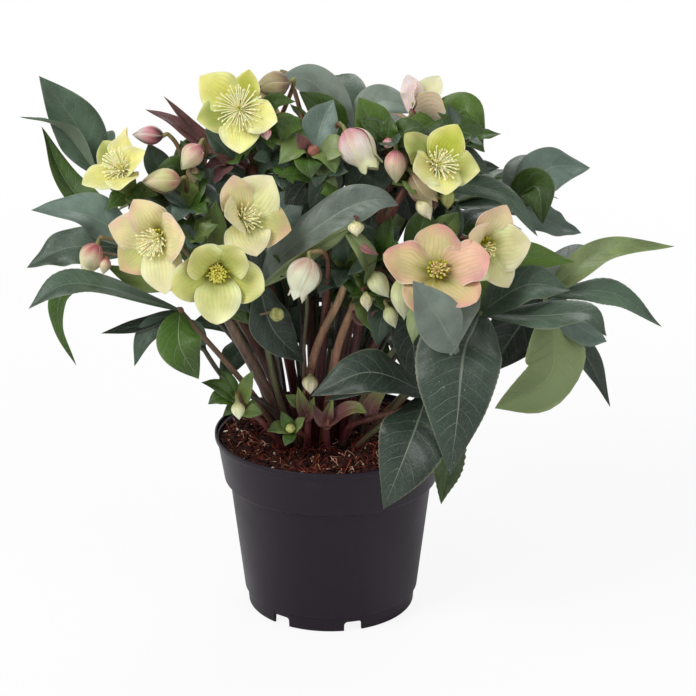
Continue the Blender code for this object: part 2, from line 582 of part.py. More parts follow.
def make_stem(name, stem):
    root = root_of(*stem["root"])
    points = [root, *stem["trunk"]]
    stalk, socket = stalk_with_socket(name, points, stem["radius"])
    trunk = smooth_curve(points, 100)
    solids = [stalk]
    for share, target, via in stem["branches"]:
        end, facing = end_of_branch(target)
        reach = 1.5 if target.startswith("flower") else 0.5
        start = trunk[round(share * 100)]
        path = smooth_curve([start, *via, end - facing * reach, end], BRANCH_STEPS)
        solids.append(tube(name + "_branch", path, (0.2, 0.15)))
    for share, *spec in stem["bracts"]:
        solids.append(leaflet(name + "_bract", trunk[round(share * 100)], *spec))
    finish(combine("flower_stem_" + name, solids), "stem")
    return socket


def main():
    for old in list(bpy.data.objects):
        bpy.data.objects.remove(old)
    sockets = [make_leaf(name, leaf) for name, leaf in LEAVES.items()]
    sockets += [make_stem(name, stem) for name, stem in STEMS.items()]
    for name, flower in FLOWERS.items():
        make_flower(name, flower)
    for name, bud in BUDS.items():
        make_bud(name, *bud)
    make_mix(sockets)
    make_pot()


main()
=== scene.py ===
"""The looks of the potted hellebore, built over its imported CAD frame.

Shapes are drawn in centimetres and made in metres. +Z is up and -Y is the plant's front.
"""

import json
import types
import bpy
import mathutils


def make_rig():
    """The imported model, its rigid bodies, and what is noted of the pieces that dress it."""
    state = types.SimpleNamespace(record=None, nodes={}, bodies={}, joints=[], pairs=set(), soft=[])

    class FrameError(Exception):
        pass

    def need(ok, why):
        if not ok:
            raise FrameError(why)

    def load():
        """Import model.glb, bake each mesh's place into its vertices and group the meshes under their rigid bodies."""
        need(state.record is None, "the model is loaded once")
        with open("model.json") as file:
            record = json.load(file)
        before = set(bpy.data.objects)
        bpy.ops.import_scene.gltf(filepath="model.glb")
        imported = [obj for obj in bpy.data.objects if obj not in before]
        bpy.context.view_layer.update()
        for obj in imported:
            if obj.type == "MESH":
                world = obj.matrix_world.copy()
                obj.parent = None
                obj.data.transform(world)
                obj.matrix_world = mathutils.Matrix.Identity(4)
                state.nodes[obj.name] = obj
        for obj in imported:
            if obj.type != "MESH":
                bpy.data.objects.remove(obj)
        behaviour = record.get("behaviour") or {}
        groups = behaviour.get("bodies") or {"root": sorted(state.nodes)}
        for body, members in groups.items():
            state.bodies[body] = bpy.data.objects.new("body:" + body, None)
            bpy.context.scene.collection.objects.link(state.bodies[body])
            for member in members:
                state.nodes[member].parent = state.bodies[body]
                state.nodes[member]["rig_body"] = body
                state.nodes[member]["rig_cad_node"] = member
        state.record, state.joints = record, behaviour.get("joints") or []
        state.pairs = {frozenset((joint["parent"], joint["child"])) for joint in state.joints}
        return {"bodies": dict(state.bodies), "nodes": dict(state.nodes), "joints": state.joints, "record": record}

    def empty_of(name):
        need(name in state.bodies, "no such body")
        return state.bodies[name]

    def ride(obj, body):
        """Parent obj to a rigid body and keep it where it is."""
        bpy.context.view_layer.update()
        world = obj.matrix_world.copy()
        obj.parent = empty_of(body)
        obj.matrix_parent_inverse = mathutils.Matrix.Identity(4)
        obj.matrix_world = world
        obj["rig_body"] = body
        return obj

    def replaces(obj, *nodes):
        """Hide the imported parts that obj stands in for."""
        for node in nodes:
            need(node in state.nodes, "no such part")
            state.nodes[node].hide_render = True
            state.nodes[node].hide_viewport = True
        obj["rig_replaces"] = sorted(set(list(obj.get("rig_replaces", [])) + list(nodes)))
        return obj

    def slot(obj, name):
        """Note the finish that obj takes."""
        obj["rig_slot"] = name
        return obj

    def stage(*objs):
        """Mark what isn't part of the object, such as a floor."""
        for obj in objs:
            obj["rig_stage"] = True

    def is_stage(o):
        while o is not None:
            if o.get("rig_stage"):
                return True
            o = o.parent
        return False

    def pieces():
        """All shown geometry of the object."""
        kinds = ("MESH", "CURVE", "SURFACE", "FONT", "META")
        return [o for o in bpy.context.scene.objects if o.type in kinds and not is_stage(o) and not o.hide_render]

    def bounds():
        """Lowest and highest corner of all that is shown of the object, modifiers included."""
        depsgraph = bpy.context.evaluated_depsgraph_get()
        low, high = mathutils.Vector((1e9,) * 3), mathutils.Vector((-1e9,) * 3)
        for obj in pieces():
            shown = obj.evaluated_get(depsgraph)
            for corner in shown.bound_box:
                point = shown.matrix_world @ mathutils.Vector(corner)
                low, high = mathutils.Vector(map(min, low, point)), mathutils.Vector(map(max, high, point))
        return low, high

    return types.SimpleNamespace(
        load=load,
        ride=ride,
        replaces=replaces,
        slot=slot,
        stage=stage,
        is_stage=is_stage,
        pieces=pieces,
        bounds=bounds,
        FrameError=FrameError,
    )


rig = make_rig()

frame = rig.load()

import json
import math
import zlib

import bpy
import numpy as np
from mathutils import Vector, noise

cad_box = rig.bounds()

CM = 0.01
UP = np.array((0.0, 0.0, 1.0))


# Tables ------------------------------------------------------------------------------------------


def read(word):
    """A number, a name, or a tuple of these where the word has commas."""
    if "," in word:
        return tuple(read(part) for part in word.split(","))
    for kind in (int, float):
        try:
            return kind(word)
        except ValueError:
            pass
    return word


def table(text):
    """Reads entries: under the name that starts a line at the margin, its words, settings and rows.

    A setting is written name=value. The rows are the indented lines, each as its words and settings.
    A line that has only settings adds them to what stands above it.
    """
    entries, rows, latest = {}, [], {}
    for line in text.strip().splitlines():
        pairs = [word.split("=") for word in line.split()]
        words = [read(pair[0]) for pair in pairs if len(pair) == 1]
        settings = {pair[0]: read(pair[1]) for pair in pairs if len(pair) == 2}
        if not words:
            latest.update(settings)
            continue
        latest = settings
        if line[0] == " ":
            rows.append((words, settings))
        else:
            rows = []
            entries[words[0]] = (words[1:], settings, rows)
    return entries


def rgb(red, green, blue):
    """A linear colour from the 0 to 255 values of its appearance."""
    shares = np.array((red, green, blue)) / 255
    return np.where(shares <= 0.04045, shares / 12.92, ((shares + 0.055) / 1.055) ** 2.4)


def tint_table(text):
    """Lists of linear colours, each under its name."""
    return {name: [rgb(*tint) for tint in tints] for name, (tints, _, _) in table(text).items()}


# Camera and light --------------------------------------------------------------------------------

CAMERA_PLACE = (0, -1.6444, 0.8071)
CAMERA_PITCH = 19.63  # degrees down
CAMERA_YAW = 0.497  # degrees to the right
CAMERA_LENS = 111.5  # for a sensor of this width, both in mm
CAMERA_SENSOR = 36
WORLD_LIGHT = 0.42
FLOOR_WHITE = 0.86
FLOOR_GLOW = 0.88
FLOOR_FADE = (0.45, 1.6)  # from here to here the floor turns plain white
FLOOR_HALF = 30.0
FLOOR_DROP = 0.0005  # below the foot of the pot
LAMPS_AIM = (0, 0, 0.25)
# Each lamp's place, its size in m and its power in W.
LAMPS = {
    "key": ((-1.6, -1.3, 2.1), (1.3, 1.3), 53),
    "fill": ((1.9, -1.6, 1.1), (1.6, 1.6), 14),
    "back": ((0.6, 1.9, 1.7), (1.5, 1.0), 18),
}

# Layout ------------------------------------------------------------------------------------------

# The outside of the pot, as radii and heights from its foot up.
POT_OUTSIDE = [
    (6.9, 0.0), (7.0, 1.3), (7.2, 1.35), (8.3, 10.8), (8.75, 11.1), (9.3, 14.5), (9.5, 14.6), (9.5, 15.0),
]
POT_FLOOR = 0.9
POT_WALL = 0.15
POT_CORNER = 0.07  # how far each edge is rounded
POT_PAD_RADIUS = 1.5
POT_FOOT_RADIUS = 7.0
POT_FOOT_INSIDE = 6.7
POT_FLOOR_RADIUS = 6.8  # of the upper side of the floor
POT_SIDES = 180
POT_NOTCH = (1.5, 0.8)  # width and height of each gap in the foot ring
POT_NOTCH_CORNER = 0.3
POT_NOTCH_FROM = 6.0  # the gaps cut what lies outside this radius
POT_NOTCH_ANGLES = [-126, -75, 27, 78, 130, 181]

MIX_EDGE = 14.4
MIX_CROWN = 14.8
MIX_GAP = 0.03  # between the potting mix and the pot
MIX_RADIUS = 9.07
MIX_FOOT_RADIUS = 6.75
MIX_RINGS = 60
MIX_SIDES = 150
MIX_MOUND = ([0, 5, 9.1], [MIX_CROWN, MIX_CROWN - 0.15, MIX_EDGE])  # radii, and the heights there
MIX_LEVEL_FROM = 9.4  # the lumps fade out towards this radius
MIX_LUMPS = [(0.28, 0.8, 3.1), (0.2, 2.1, 7.7), (0.1, 5, 1.3)]  # height, closeness, place in the noise
CRUMB_SPREAD = (8.9, 9.0)  # the radii that the middle and the ends of a crumb stay inside
ROOT_DEPTH = 1.2
CROWN = (-1.0, -0.3, MIX_CROWN)

# What lies on the potting mix: how much of each kind, its tint, length, radius and bend.
# The pale fibres of the second kind are partly real fibres and partly stand-ins for glints on the mix, as painted
# highlights.
CRUMBS = table("""
fibre 460 136,58,38 1.3 0.03 1
light_fibre 240 228,176,148 0.9 0.024 1
clod 560 52,22,20 0.5 0.18 0
bark 190 92,38,30 0.7 0.12 0
chip 90 228,208,186 0.34 0.08 0
""")

SMOOTH_ANGLE = math.radians(50)
VEINS_PER_CM = 0.9
VEIN_SWEEP = 1.7  # how far forward a side vein has bent at the rim, in gaps between veins
GOLDEN_ANGLE = 2.399963
TRUNK_STEPS = 100
KNOT = (0.08, 0.012)  # how far a stem swells where something leaves it, and over what share of it
LEAFLET_FOOT = 0.25  # how far behind its hub a leaflet begins
INNER_LOOKS = ("dark", "deep", "green", "dark", "grey")
INNER_FAN = (-100, -50, 0, 50, 100)  # the turns of the leaflets of an inner leaf, in degrees
INNER_CLEAR = 4  # inner leaflets that end nearer than this to a flower are left out
TUFT_TILT = 58
SEPALS = 5
SEPAL_SHAPE = {"fold": 0.05, "roll": 0.1, "wave": 0.07, "waves": 2.1, "thick": 0.022, "sway": 0.07}
SEPAL_CUP = 0.26  # for sepals that stand forward at 45 degrees
NECTARIES = 13
STYLES = 5
FLOWER_BACK = 0.3  # from the receptacle back to the stalk
FLOWER_FOOT = 0.33  # from the receptacle forward to the foot of the stamens

# A leaf has a tint at its base and one at its tip, and a stalk one at its foot and one at its top.
LEAF_TINTS = tint_table("""
dark 68,88,70 60,78,62
grey 94,112,102 86,104,94
pale 120,132,120 110,124,114
deep 40,54,44 36,50,40
green 58,90,16 54,80,18
bright 84,116,30 76,106,30
olive 124,140,88 112,130,78
bract 104,122,58 86,110,52
mauve 118,74,74 92,56,58
sheath 104,58,60 120,138,66
""")
STALK_TINTS = tint_table("""
petiole 84,56,48 92,100,62
dark_petiole 52,36,34 64,62,46
brown 76,38,36 108,80,58
grey_brown 88,66,58 112,94,74
red 76,26,32 96,56,46
tan 126,80,62 190,160,122
mauve 112,48,60 118,84,66
pedicel 104,72,60 134,134,80
""")
# A sepal has a tint at its base, over its body, at its rim and on its back.
SEPAL_TINTS = tint_table("""
lime 170,180,50 214,212,112 232,228,164 198,200,118
butter 186,184,64 230,223,138 242,233,180 212,208,136
green 142,150,38 184,188,98 230,226,162 156,166,86
leafy 116,132,36 150,162,78 214,214,140 140,150,78
olive 138,146,30 182,190,68 230,226,142 152,160,66
pale_green 150,158,50 212,212,140 234,230,184 190,194,120
peach 156,146,36 228,214,156 228,190,168 218,196,158
green_peach 148,152,50 194,192,122 212,166,140 190,182,130
blush 138,130,14 208,190,138 226,154,150 194,160,144
salmon 146,128,22 228,184,156 236,168,162 206,160,144
cream 166,164,54 228,221,164 236,222,186 220,214,162
cream_blush 168,160,60 224,208,162 232,192,164 222,200,164
wine 118,52,64 190,178,146 206,198,160 194,178,154
rose 158,66,88 250,226,222 255,246,240 255,228,228
bud_pink 216,112,132 236,200,178 226,222,178 216,176,160
bud_rose 122,34,54 206,136,142 240,216,212 206,136,146
bud_crimson 70,4,26 214,138,150 255,242,236 190,110,124
bud_blush 196,84,98 230,208,176 222,216,170 206,180,150
bud_cream 212,140,132 218,210,150 236,206,178 214,204,168
bud_white 206,160,146 236,229,204 242,232,212 226,216,184
bud_half 226,140,154 244,220,214 226,226,168 216,210,150
bud_pale 188,188,126 228,222,178 238,232,204 220,212,170
bud_green 120,130,60 156,164,92 186,184,118 150,160,90
bud_brown 118,84,70 168,148,114 190,176,134 140,122,96
bud_red 96,40,44 142,84,76 168,112,92 120,70,64
""")
# The middle of the flower, a nectary and its lip, a style and its stigma, and then each kind of
# filament with its anther.
STAMEN_TINTS = tint_table("""
eye 196,196,66
nectary 140,146,20 190,184,50
style 222,218,116 236,226,168
cream 255,251,210 255,246,190
yellow 238,232,128 240,230,112
peach 236,216,150 238,206,150
""")

# Leaves. A line at the margin has a point that the stalk passes and the hub where the leaflets meet.
# root: where the stalk leaves the crown, as an angle round it and a distance from its middle.
# look: the tint of the stalk. Each row is a leaflet: its look, its width, the way its upper face
# looks, and the points that its midrib passes after the hub. start: where it leaves from, if not
# from the hub. tone: how light it is. widest: the lower it is, the nearer the widest place is to
# the base. steps and span: how finely it is drawn. The other settings are explained at blade.
# The last leaflet of right_far is a dark leaf set in a gap behind the front leaves; its tone of 0.55 darkens it
# further as painted shade.
LEAVES = table("""
left_top -8,2,25 -18.5,1,36.5 root=170,3
  dark 4 0.15,-0.95,0.3 -19.8,0.8,40.3 -22.5,0,44.5 tone=1.5 fold=0.12 wave=0.07
  grey 2.6 0.3,0.4,0.9 -21,0,40.3 -24,-1,41.5 fold=0.35
  dark 3.6 -0.3,0,1 -19,5,38 -20.5,8.5,36.5
left_mid -7,-3,23 -14.5,-5,32 root=192,3 look=dark_petiole
  green 2.4 0.6,-0.7,0.4 -20,-2.5,36 -22.5,0,40.5 fold=0.5 tone=0.95
  grey 3.8 -0.1,-0.5,0.8 -18.5,-6,35 -22.5,-8,36 tone=1.4 wave=0.1 skew=0.1
  dark 3.2 -0.2,-0.7,0.7 -20,-4.5,32 -23.5,-5,30.5 wave=0.12
  deep 3.2 -0.4,0,0.9 -18,-1,31 -21,3,29
  green 2.6 0.1,0,1 -13.6,-1.8,32.8 -12.3,1.2,32.2
left_low -6,-5.5,20 -11.5,-8,28 root=214,3 look=brown
  dark 3.2 0,-0.35,1 -17,-10,30.5 -20,-11,31 -22.5,-12,29.5 teeth=0.05 fold=0.3 wave=0.08
  green 1.6 -0.5,-0.8,0.4 -17.5,-7,29.9 -20.4,-7.4,29.2 -20.8,-7.8,26.6 -19.6,-8,23.5
    tone=0.9 fold=0.5 wave=0.15
  green 3.4 0.3,-0.9,0.2 -11.5,-10,26 -10,-11,23.5 tone=0.95 widest=0.95 wave=0.06
  deep 1.4 0,-0.5,0.9 -14.5,-8.5,27 -17.5,-9,26.5
  dark 1.7 -0.4,-0.9,0.2 -14,-9,26.5 -15,-9.5,24
front_low 3.5,-5,16.8 7.5,-9,21.5 root=318,3.2
  deep 3.8 0.1,-0.6,0.8 3,-11,24 -1.5,-11.5,22.3 tone=0.95 fold=0.25 wave=0.06 teeth=0.03
  deep 5.2 -0.3,-0.9,0.3 6,-13,19 4,-14,14 tone=0.95 teeth=0.07 wave=0.06 skew=-0.08 steps=56 span=18
  deep 2.6 0,-0.2,1 4,-8,22 -0.5,-8.5,20.7 tone=0.9
  green 3 0.3,-0.9,0.2 9,-10.5,17.5 8.5,-12,13.5 tone=0.75 teeth=0.16 wave=0.15
right_mid 6,-4.5,20 11.5,-7.5,27.5 root=338,3
  deep 6.4 -0.1,-0.95,0.2 10,-12.5,26 9.5,-14.5,22 9,-14.5,17
    tone=1.3 teeth=0.03 widest=0.66 steps=60 span=18 fold=0.12 wave=0.07 skew=0.1
  dark 4 -0.3,-0.5,0.8 15,-7.3,29.7 18.5,-7,29.2 fold=0.3
  bright 3 0,-0.75,0.65 14,-5.2,31 19,-4.7,30.8 tone=0.9 fold=0.2
  dark 3.4 0,-0.35,1 16,-9,27.8 19.5,-9.8,28.2 21,-10,26.5 tone=1.05 teeth=0.05 wave=0.08
right_front 4,-4.5,22 9,-6.5,29.3 root=300,2.8
  pale 5 0,-0.9,0.5 8.8,-11,29.2 9,-13.5,26.2 tone=1.05 widest=0.72 fold=0.1
  olive 2 -0.5,-0.7,0.5 6.8,-9.5,28.3 6.2,-11,26.3 tone=0.9
  deep 3.8 -0.1,-0.9,0.2 6.6,-6.1,26 6.9,-5.8,20.8 tone=0.6
  pale 3.7 0.2,-0.9,0.3 7.9,-14.6,29.6 6,-15.3,32.7 tone=0.88 fold=0.15 start=9.4,-12.8,26.4
right_far 8,-1,20 17,-3,27.5 root=0,3
  olive 2.2 0.1,-0.7,0.7 21.5,-2.5,31 27,-3,31.5 tone=0.94 widest=0.75 fold=0.25
  dark 2.4 0.2,-0.5,0.8 22,-4,28 26,-5,25.5 teeth=0.05 tone=1.2
  olive 5.6 -0.4,0.9,-0.1 17.6,-5,24.8 17,-5.8,21.4 12.9,-6.5,19.3 widest=1.1 teeth=0.03 skew=0.1
  grey 2.8 0.3,-0.8,0.5 19.8,-3.8,25 21.9,-3.6,23.8 tone=1.25
  deep 2 0.5,-0.7,0.4 20.5,-2,22 22.5,-3,18 fold=0.4
  dark 3.4 0.1,-0.2,1 20,2.5,29 24,6,28
  deep 4.4 0,-0.9,0.4 14.6,-3.6,24.6 12.6,-4.2,21.4 tone=0.55
right_top 7,1.5,24 14.5,1,34 root=20,3
  grey 3.8 -0.2,-0.7,0.6 17.5,2.5,36.3 21,4,36 tone=1.2
  green 3 -0.2,-0.9,0.2 16.2,-1,35.8 16.7,-2,33 tone=0.7 fold=0.4
  grey 2.6 0,-0.6,0.8 17.5,0,32.6 20,0,31.7 wave=0.12
  dark 3.4 0,0,1 16,5,36 18,9,36
centre -4.5,-4.5,21 -5.5,-6,29.5 root=240,2.8
  pale 3.2 -0.3,-0.8,0.5 -3,-6.9,32.6 0.8,-7.3,35.6 3.4,-7.5,36.6 5.2,-7.6,36.2
    tone=0.68 steps=60 span=18 fold=0.3 wave=0.16 waves=2.2 quilt=0.14
  grey 3.8 -0.3,-0.9,0.2 -4.6,-4.8,32.6 -3.4,-4.3,35 -1.6,-3.8,36.4 wave=0.1
  deep 3.4 0.4,-0.8,0.4 -4.5,-6.5,26 -2,-6,23 wave=0.1
  olive 1.5 -0.2,-0.7,-0.6 -2.3,-8.4,32.1 0.1,-8.5,33.8 2.2,-8.2,35.2
    tone=0.78 fold=0.3 start=-5.2,-7.4,29.7
  olive 1.9 0.7,-0.7,0.1 2.3,-8.5,33.2 2.9,-8.6,31.7 2.6,-8.4,30.2 tone=0.7 fold=0.35 start=1.1,-7.9,34.4
  mauve 0.7 0,-0.7,0.7 2.6,-8.6,33.1 3.7,-9,32.7 tone=1.3 start=1.6,-7.8,33.9
top 0.8,3.5,26 1.8,3,38.5 root=75,3
  pale 3.4 0,-0.8,0.6 -1,3,43 -4,3,43.7 tone=0.95
  pale 3 0,-0.8,0.6 4,4,41.5 7,4.5,40.5 tone=1.4
  dark 3.6 0,0.2,1 1,8,42 -1,13,41.5
  dark 3.4 0.2,0,1 5,6.5,39.5 8.5,8.5,37.5
  dark 3.2 -0.2,0,1 -1.5,4,37.3 -5.5,4.6,36
  deep 4 -0.2,-0.9,0.3 0.2,1,37 -1.3,0,33.5 tone=0.95
  deep 4.2 0.2,-0.9,0.3 3.2,0.9,37.2 2.4,-0.7,33.6 tone=0.95
  green 2.8 0.3,-0.9,0.3 -0.4,1.4,41.2 -2.4,1,43 tone=0.95 fold=0.35 start=1.2,2.2,39
back_left -5.5,5,22 -9.5,9,31 root=140,3
  olive 4.2 -0.2,0.2,1 -14,12,32 -18.5,14,29.5
  green 4.2 -0.1,0.3,1 -11,14,33 -13,19,31
  dark 3.8 0.1,0.3,1 -7,13,34 -6,18,34
  dark 4 -0.5,0.5,0.6 -12,11,28 -15,13,23.5
  grey 3.6 -0.2,-0.3,0.9 -14,7,33 -18,6.5,32.5
  dark 3.6 0.3,-0.6,0.8 -7,5,33 -6,1.5,34.5
back 0,6,20 1,11.5,27 root=95,3.4
  green 4.2 -0.1,0.3,1 -3,16,28 -6,19.5,25
  dark 4.6 0,0.3,1 1.5,16.5,28.5 2,21,26
  dark 4.2 0.1,0.3,1 6,15,28.5 10,18,26
  grey 4.2 0,0.9,0.4 1,14,23 0.5,15.5,18
  dark 3.8 -0.2,-0.8,0.6 -3,9.5,30 -5.5,8.5,33
  olive 3.8 0.2,-0.8,0.6 4.5,9.5,30 6.5,7.5,32.5
back_right 5,5,22 10,9,31.5 root=45,3
  green 4.2 0.2,0.2,1 15,11,33 19.5,12.5,31
  dark 4.2 0.2,0.3,1 13,14,33 15.5,18,30.5
  dark 3.8 0,0.3,1 9,14,34.5 8.5,18.5,34.5
  grey 4 0.5,0.5,0.6 14,11,28 17,13,23.5
  dark 3.6 0.2,-0.3,0.9 15,7,32 19,6,31
  olive 3.6 -0.2,-0.7,0.7 8.5,5,34 7.5,2.5,36.5
  deep 4.2 -0.1,-0.8,0.6 8.3,4.5,32.4 6.6,1.5,31.5 tone=0.8
""")

# Flowers. A line at the margin has the flower's look, its receptacle and the way it faces.
# length: of a sepal. lift: how far the sepals stand forward of flat. width: share of the length.
# roll: turn of the first sepal. stamens: how many, the tilts between which they stand, their length,
# and how far they lean to the right and up. nectaries: their size. pollen: look of the stamens.
# blunt and sharp: the outline of the sepals. Each row is a sepal: its look, how far it is turned and
# raised, its shares of length and width, and its place from the back one, -2, to the front one, 2.
# face: the way its inner side looks. The other settings are explained at blade.
FLOWERS = table("""
top_left lime -6.8,-4,42.65 0,-0.9,0.4 length=3.5 lift=12 width=0.85 roll=60
  stamens=58,10,80,1.9,0,0
  olive 17 3 0.92 0.85 -1
  lime 9 0 1.15 0.95 1
  leafy -11 3 0.98 1 -2
  butter -6 0 1 1.1 0
  butter -9 12 0.96 1 2
far_left butter -15.65,-5,38 -0.2,-0.7,0.7 length=3.5 lift=24 width=0.75 roll=85
  stamens=58,6,66,1.7,-0.25,0.1
  butter 8 4 1.04 0.8 -2 twist=45 cup=0.6
  leafy -25 -13 0.94 1 0
  butter -9 0 1.02 1 2
  butter -12 19 1 1 -1
  butter 4 25 1 0.85 1 twist=-30 cup=0.5
left peach -12.6,-9.5,34.3 -0.25,-0.9,0.15 length=4.1 lift=24 width=0.9 roll=85
  stamens=44,4,50,1.6,-0.45,-0.55
  peach 36 6 0.92 0.95 -1
  peach 11 0 1 0.85 0
  green_peach -7 0 0.98 1 -2
  cream -16 0 1.1 0.85 1
  peach -2 21 0.95 1.05 2
front_left green -8.4,-11,32.2 0.05,-1,0.05 length=4.3 lift=28 width=0.95 roll=124
  stamens=64,2,44,0.95,0,0 nectaries=1.45 pollen=yellow sharp=0.66 blunt=1.9
  green 2 15 0.86 0.95 1
  green 1 0 0.93 0.95 -1
  pale_green 0 0 0.97 0.87 2
  green 0 0 0.93 0.95 -2
  green -2 16 0.86 0.95 0
inner_left peach -6.75,-8,35.15 0.25,-0.8,0.5 length=3.7 lift=30 width=0.9 roll=65
  stamens=44,2,52,1.45,0.35,-0.35
  cream -17 0 1.12 1 0
  peach -36 7 1 0.85 1
  cream -20 26 0.95 1 2
  cream -4 0 0.98 1.1 -2
  green_peach -16 -6 1.08 1 -1
top_right lime 7.95,-6,38.75 0.25,-0.8,0.5 length=3.5 lift=28 width=0.85 roll=55
  stamens=50,4,58,1.8,0.15,-0.4
  olive 2 0 1.04 1 1
  leafy 5 -6 1.02 0.9 -2
  butter -2 12 1 1 2
  butter -6 13 1 1.1 0
  green 0 0 1 1.05 -1
front_right blush 8,-11,31.8 0,-0.64,0.77 length=4.25 lift=14 width=0.95 roll=90
  stamens=22,2,40,1.1,0,-0.7 nectaries=1.35 pollen=peach sharp=0.66 blunt=1.9
  blush -2 0 1 0.92 -2
  blush 3 0 1.02 0.88 1
  blush 8 -8 0.93 0.92 -1
  blush 6 0 1 0.9 0
  salmon -4 0 0.97 1 2
right cream 11.5,-7.2,32.7 0.45,-0.85,0.25 length=3.8 lift=32 width=0.85 roll=75
  stamens=22,2,34,1.15,0,-0.4 nectaries=1.2
  cream_blush -14 0 1.03 1 -2
  cream_blush 4 14 1 1 0
  cream 0 0 1 1 2
  cream -4 0 1 1 -1
  cream -4 0 1 1.08 1
crest wine 6.5,0,41.5 0.62,0.15,0.77 length=3.5 lift=50 width=0.85 roll=128
  stamens=30,2,30,1.2,0,0
  rose -48 0 0.9 0.72 -2 face=0.1,0.85,-0.45
  wine 6 -27 1.02 1.3 0 face=-0.1,0.85,0.2
  wine 0 0 0.8 1 2
  bud_pale 3 25 1.11 0.66 -1 face=-0.2,-0.8,0.3
  rose 0 0 0.75 1 1
back_left cream -7,10,38 -0.3,0.9,0.35 length=3.9 lift=20 width=0.9 roll=40
  stamens=50,4,60,1.6,0,-0.2
  cream 0 0 1 1 -2
  cream 0 0 1 1 0
  cream 0 0 1 1 2
  cream 0 0 1 1 -1
  cream 0 0 1 1 1
back_right peach 3.6,11.8,36.2 0.3,0.85,0.4 length=3.9 lift=18 width=0.9 roll=10
  stamens=50,4,64,1.6,0,-0.2
  peach 0 0 1 1 -2
  peach 0 0 1 1 0
  peach 0 0 1 1 2
  peach 0 0 1 1 -1
  peach 0 0 1 1 1
""")

# Buds: the middle of the base, the way the bud points, its length, its radius, its look, and how far
# its tip has opened.
BUDS = table("""
left_top_1 -12.8,-3,40.5 -1,0.1,0 2.4 0.72 bud_crimson
left_top_2 -9.9,-5,40.2 -0.6,-0.3,-0.75 2.3 0.85 bud_pink
left_top_3 -11.4,-6,37.8 -1,-0.2,0 2.9 0.92 bud_cream
left_low -17.6,-8,33.3 -0.4,-0.1,-0.85 2.7 0.95 bud_blush
centre_1 -1.6,-9.5,32.6 -0.3,-0.25,-0.95 3.4 1.25 bud_white 0.48
centre_2 1.2,-4.5,41.2 0.55,-0.3,-0.7 3.8 1.35 bud_half 0.6
top_left -3.2,-1,44.2 -0.9,-0.3,-0.1 2.7 1 bud_brown 0.3
centre_right_1 5,-5,39.8 0,-0.2,-1 2.6 0.85 bud_pink
centre_right_2 6.3,-5,37.9 0.6,-0.3,-0.7 2.9 1.05 bud_brown 0.4
right_1 3.1,-8,31 0.55,-0.2,-0.75 2.4 0.75 bud_pale
right_2 4.4,-7.6,28.1 0.35,-0.1,-1 1.8 0.55 bud_pale
right_3 5.3,-8.5,30.6 0.1,0,-1 3.3 0.8 bud_pale
shoot_left -7.2,-8.9,20.8 0.1,-0.5,-0.9 1.4 0.5 bud_pale
back -4,9,42.5 -0.3,0.5,-0.7 2.8 1 bud_pink
""")

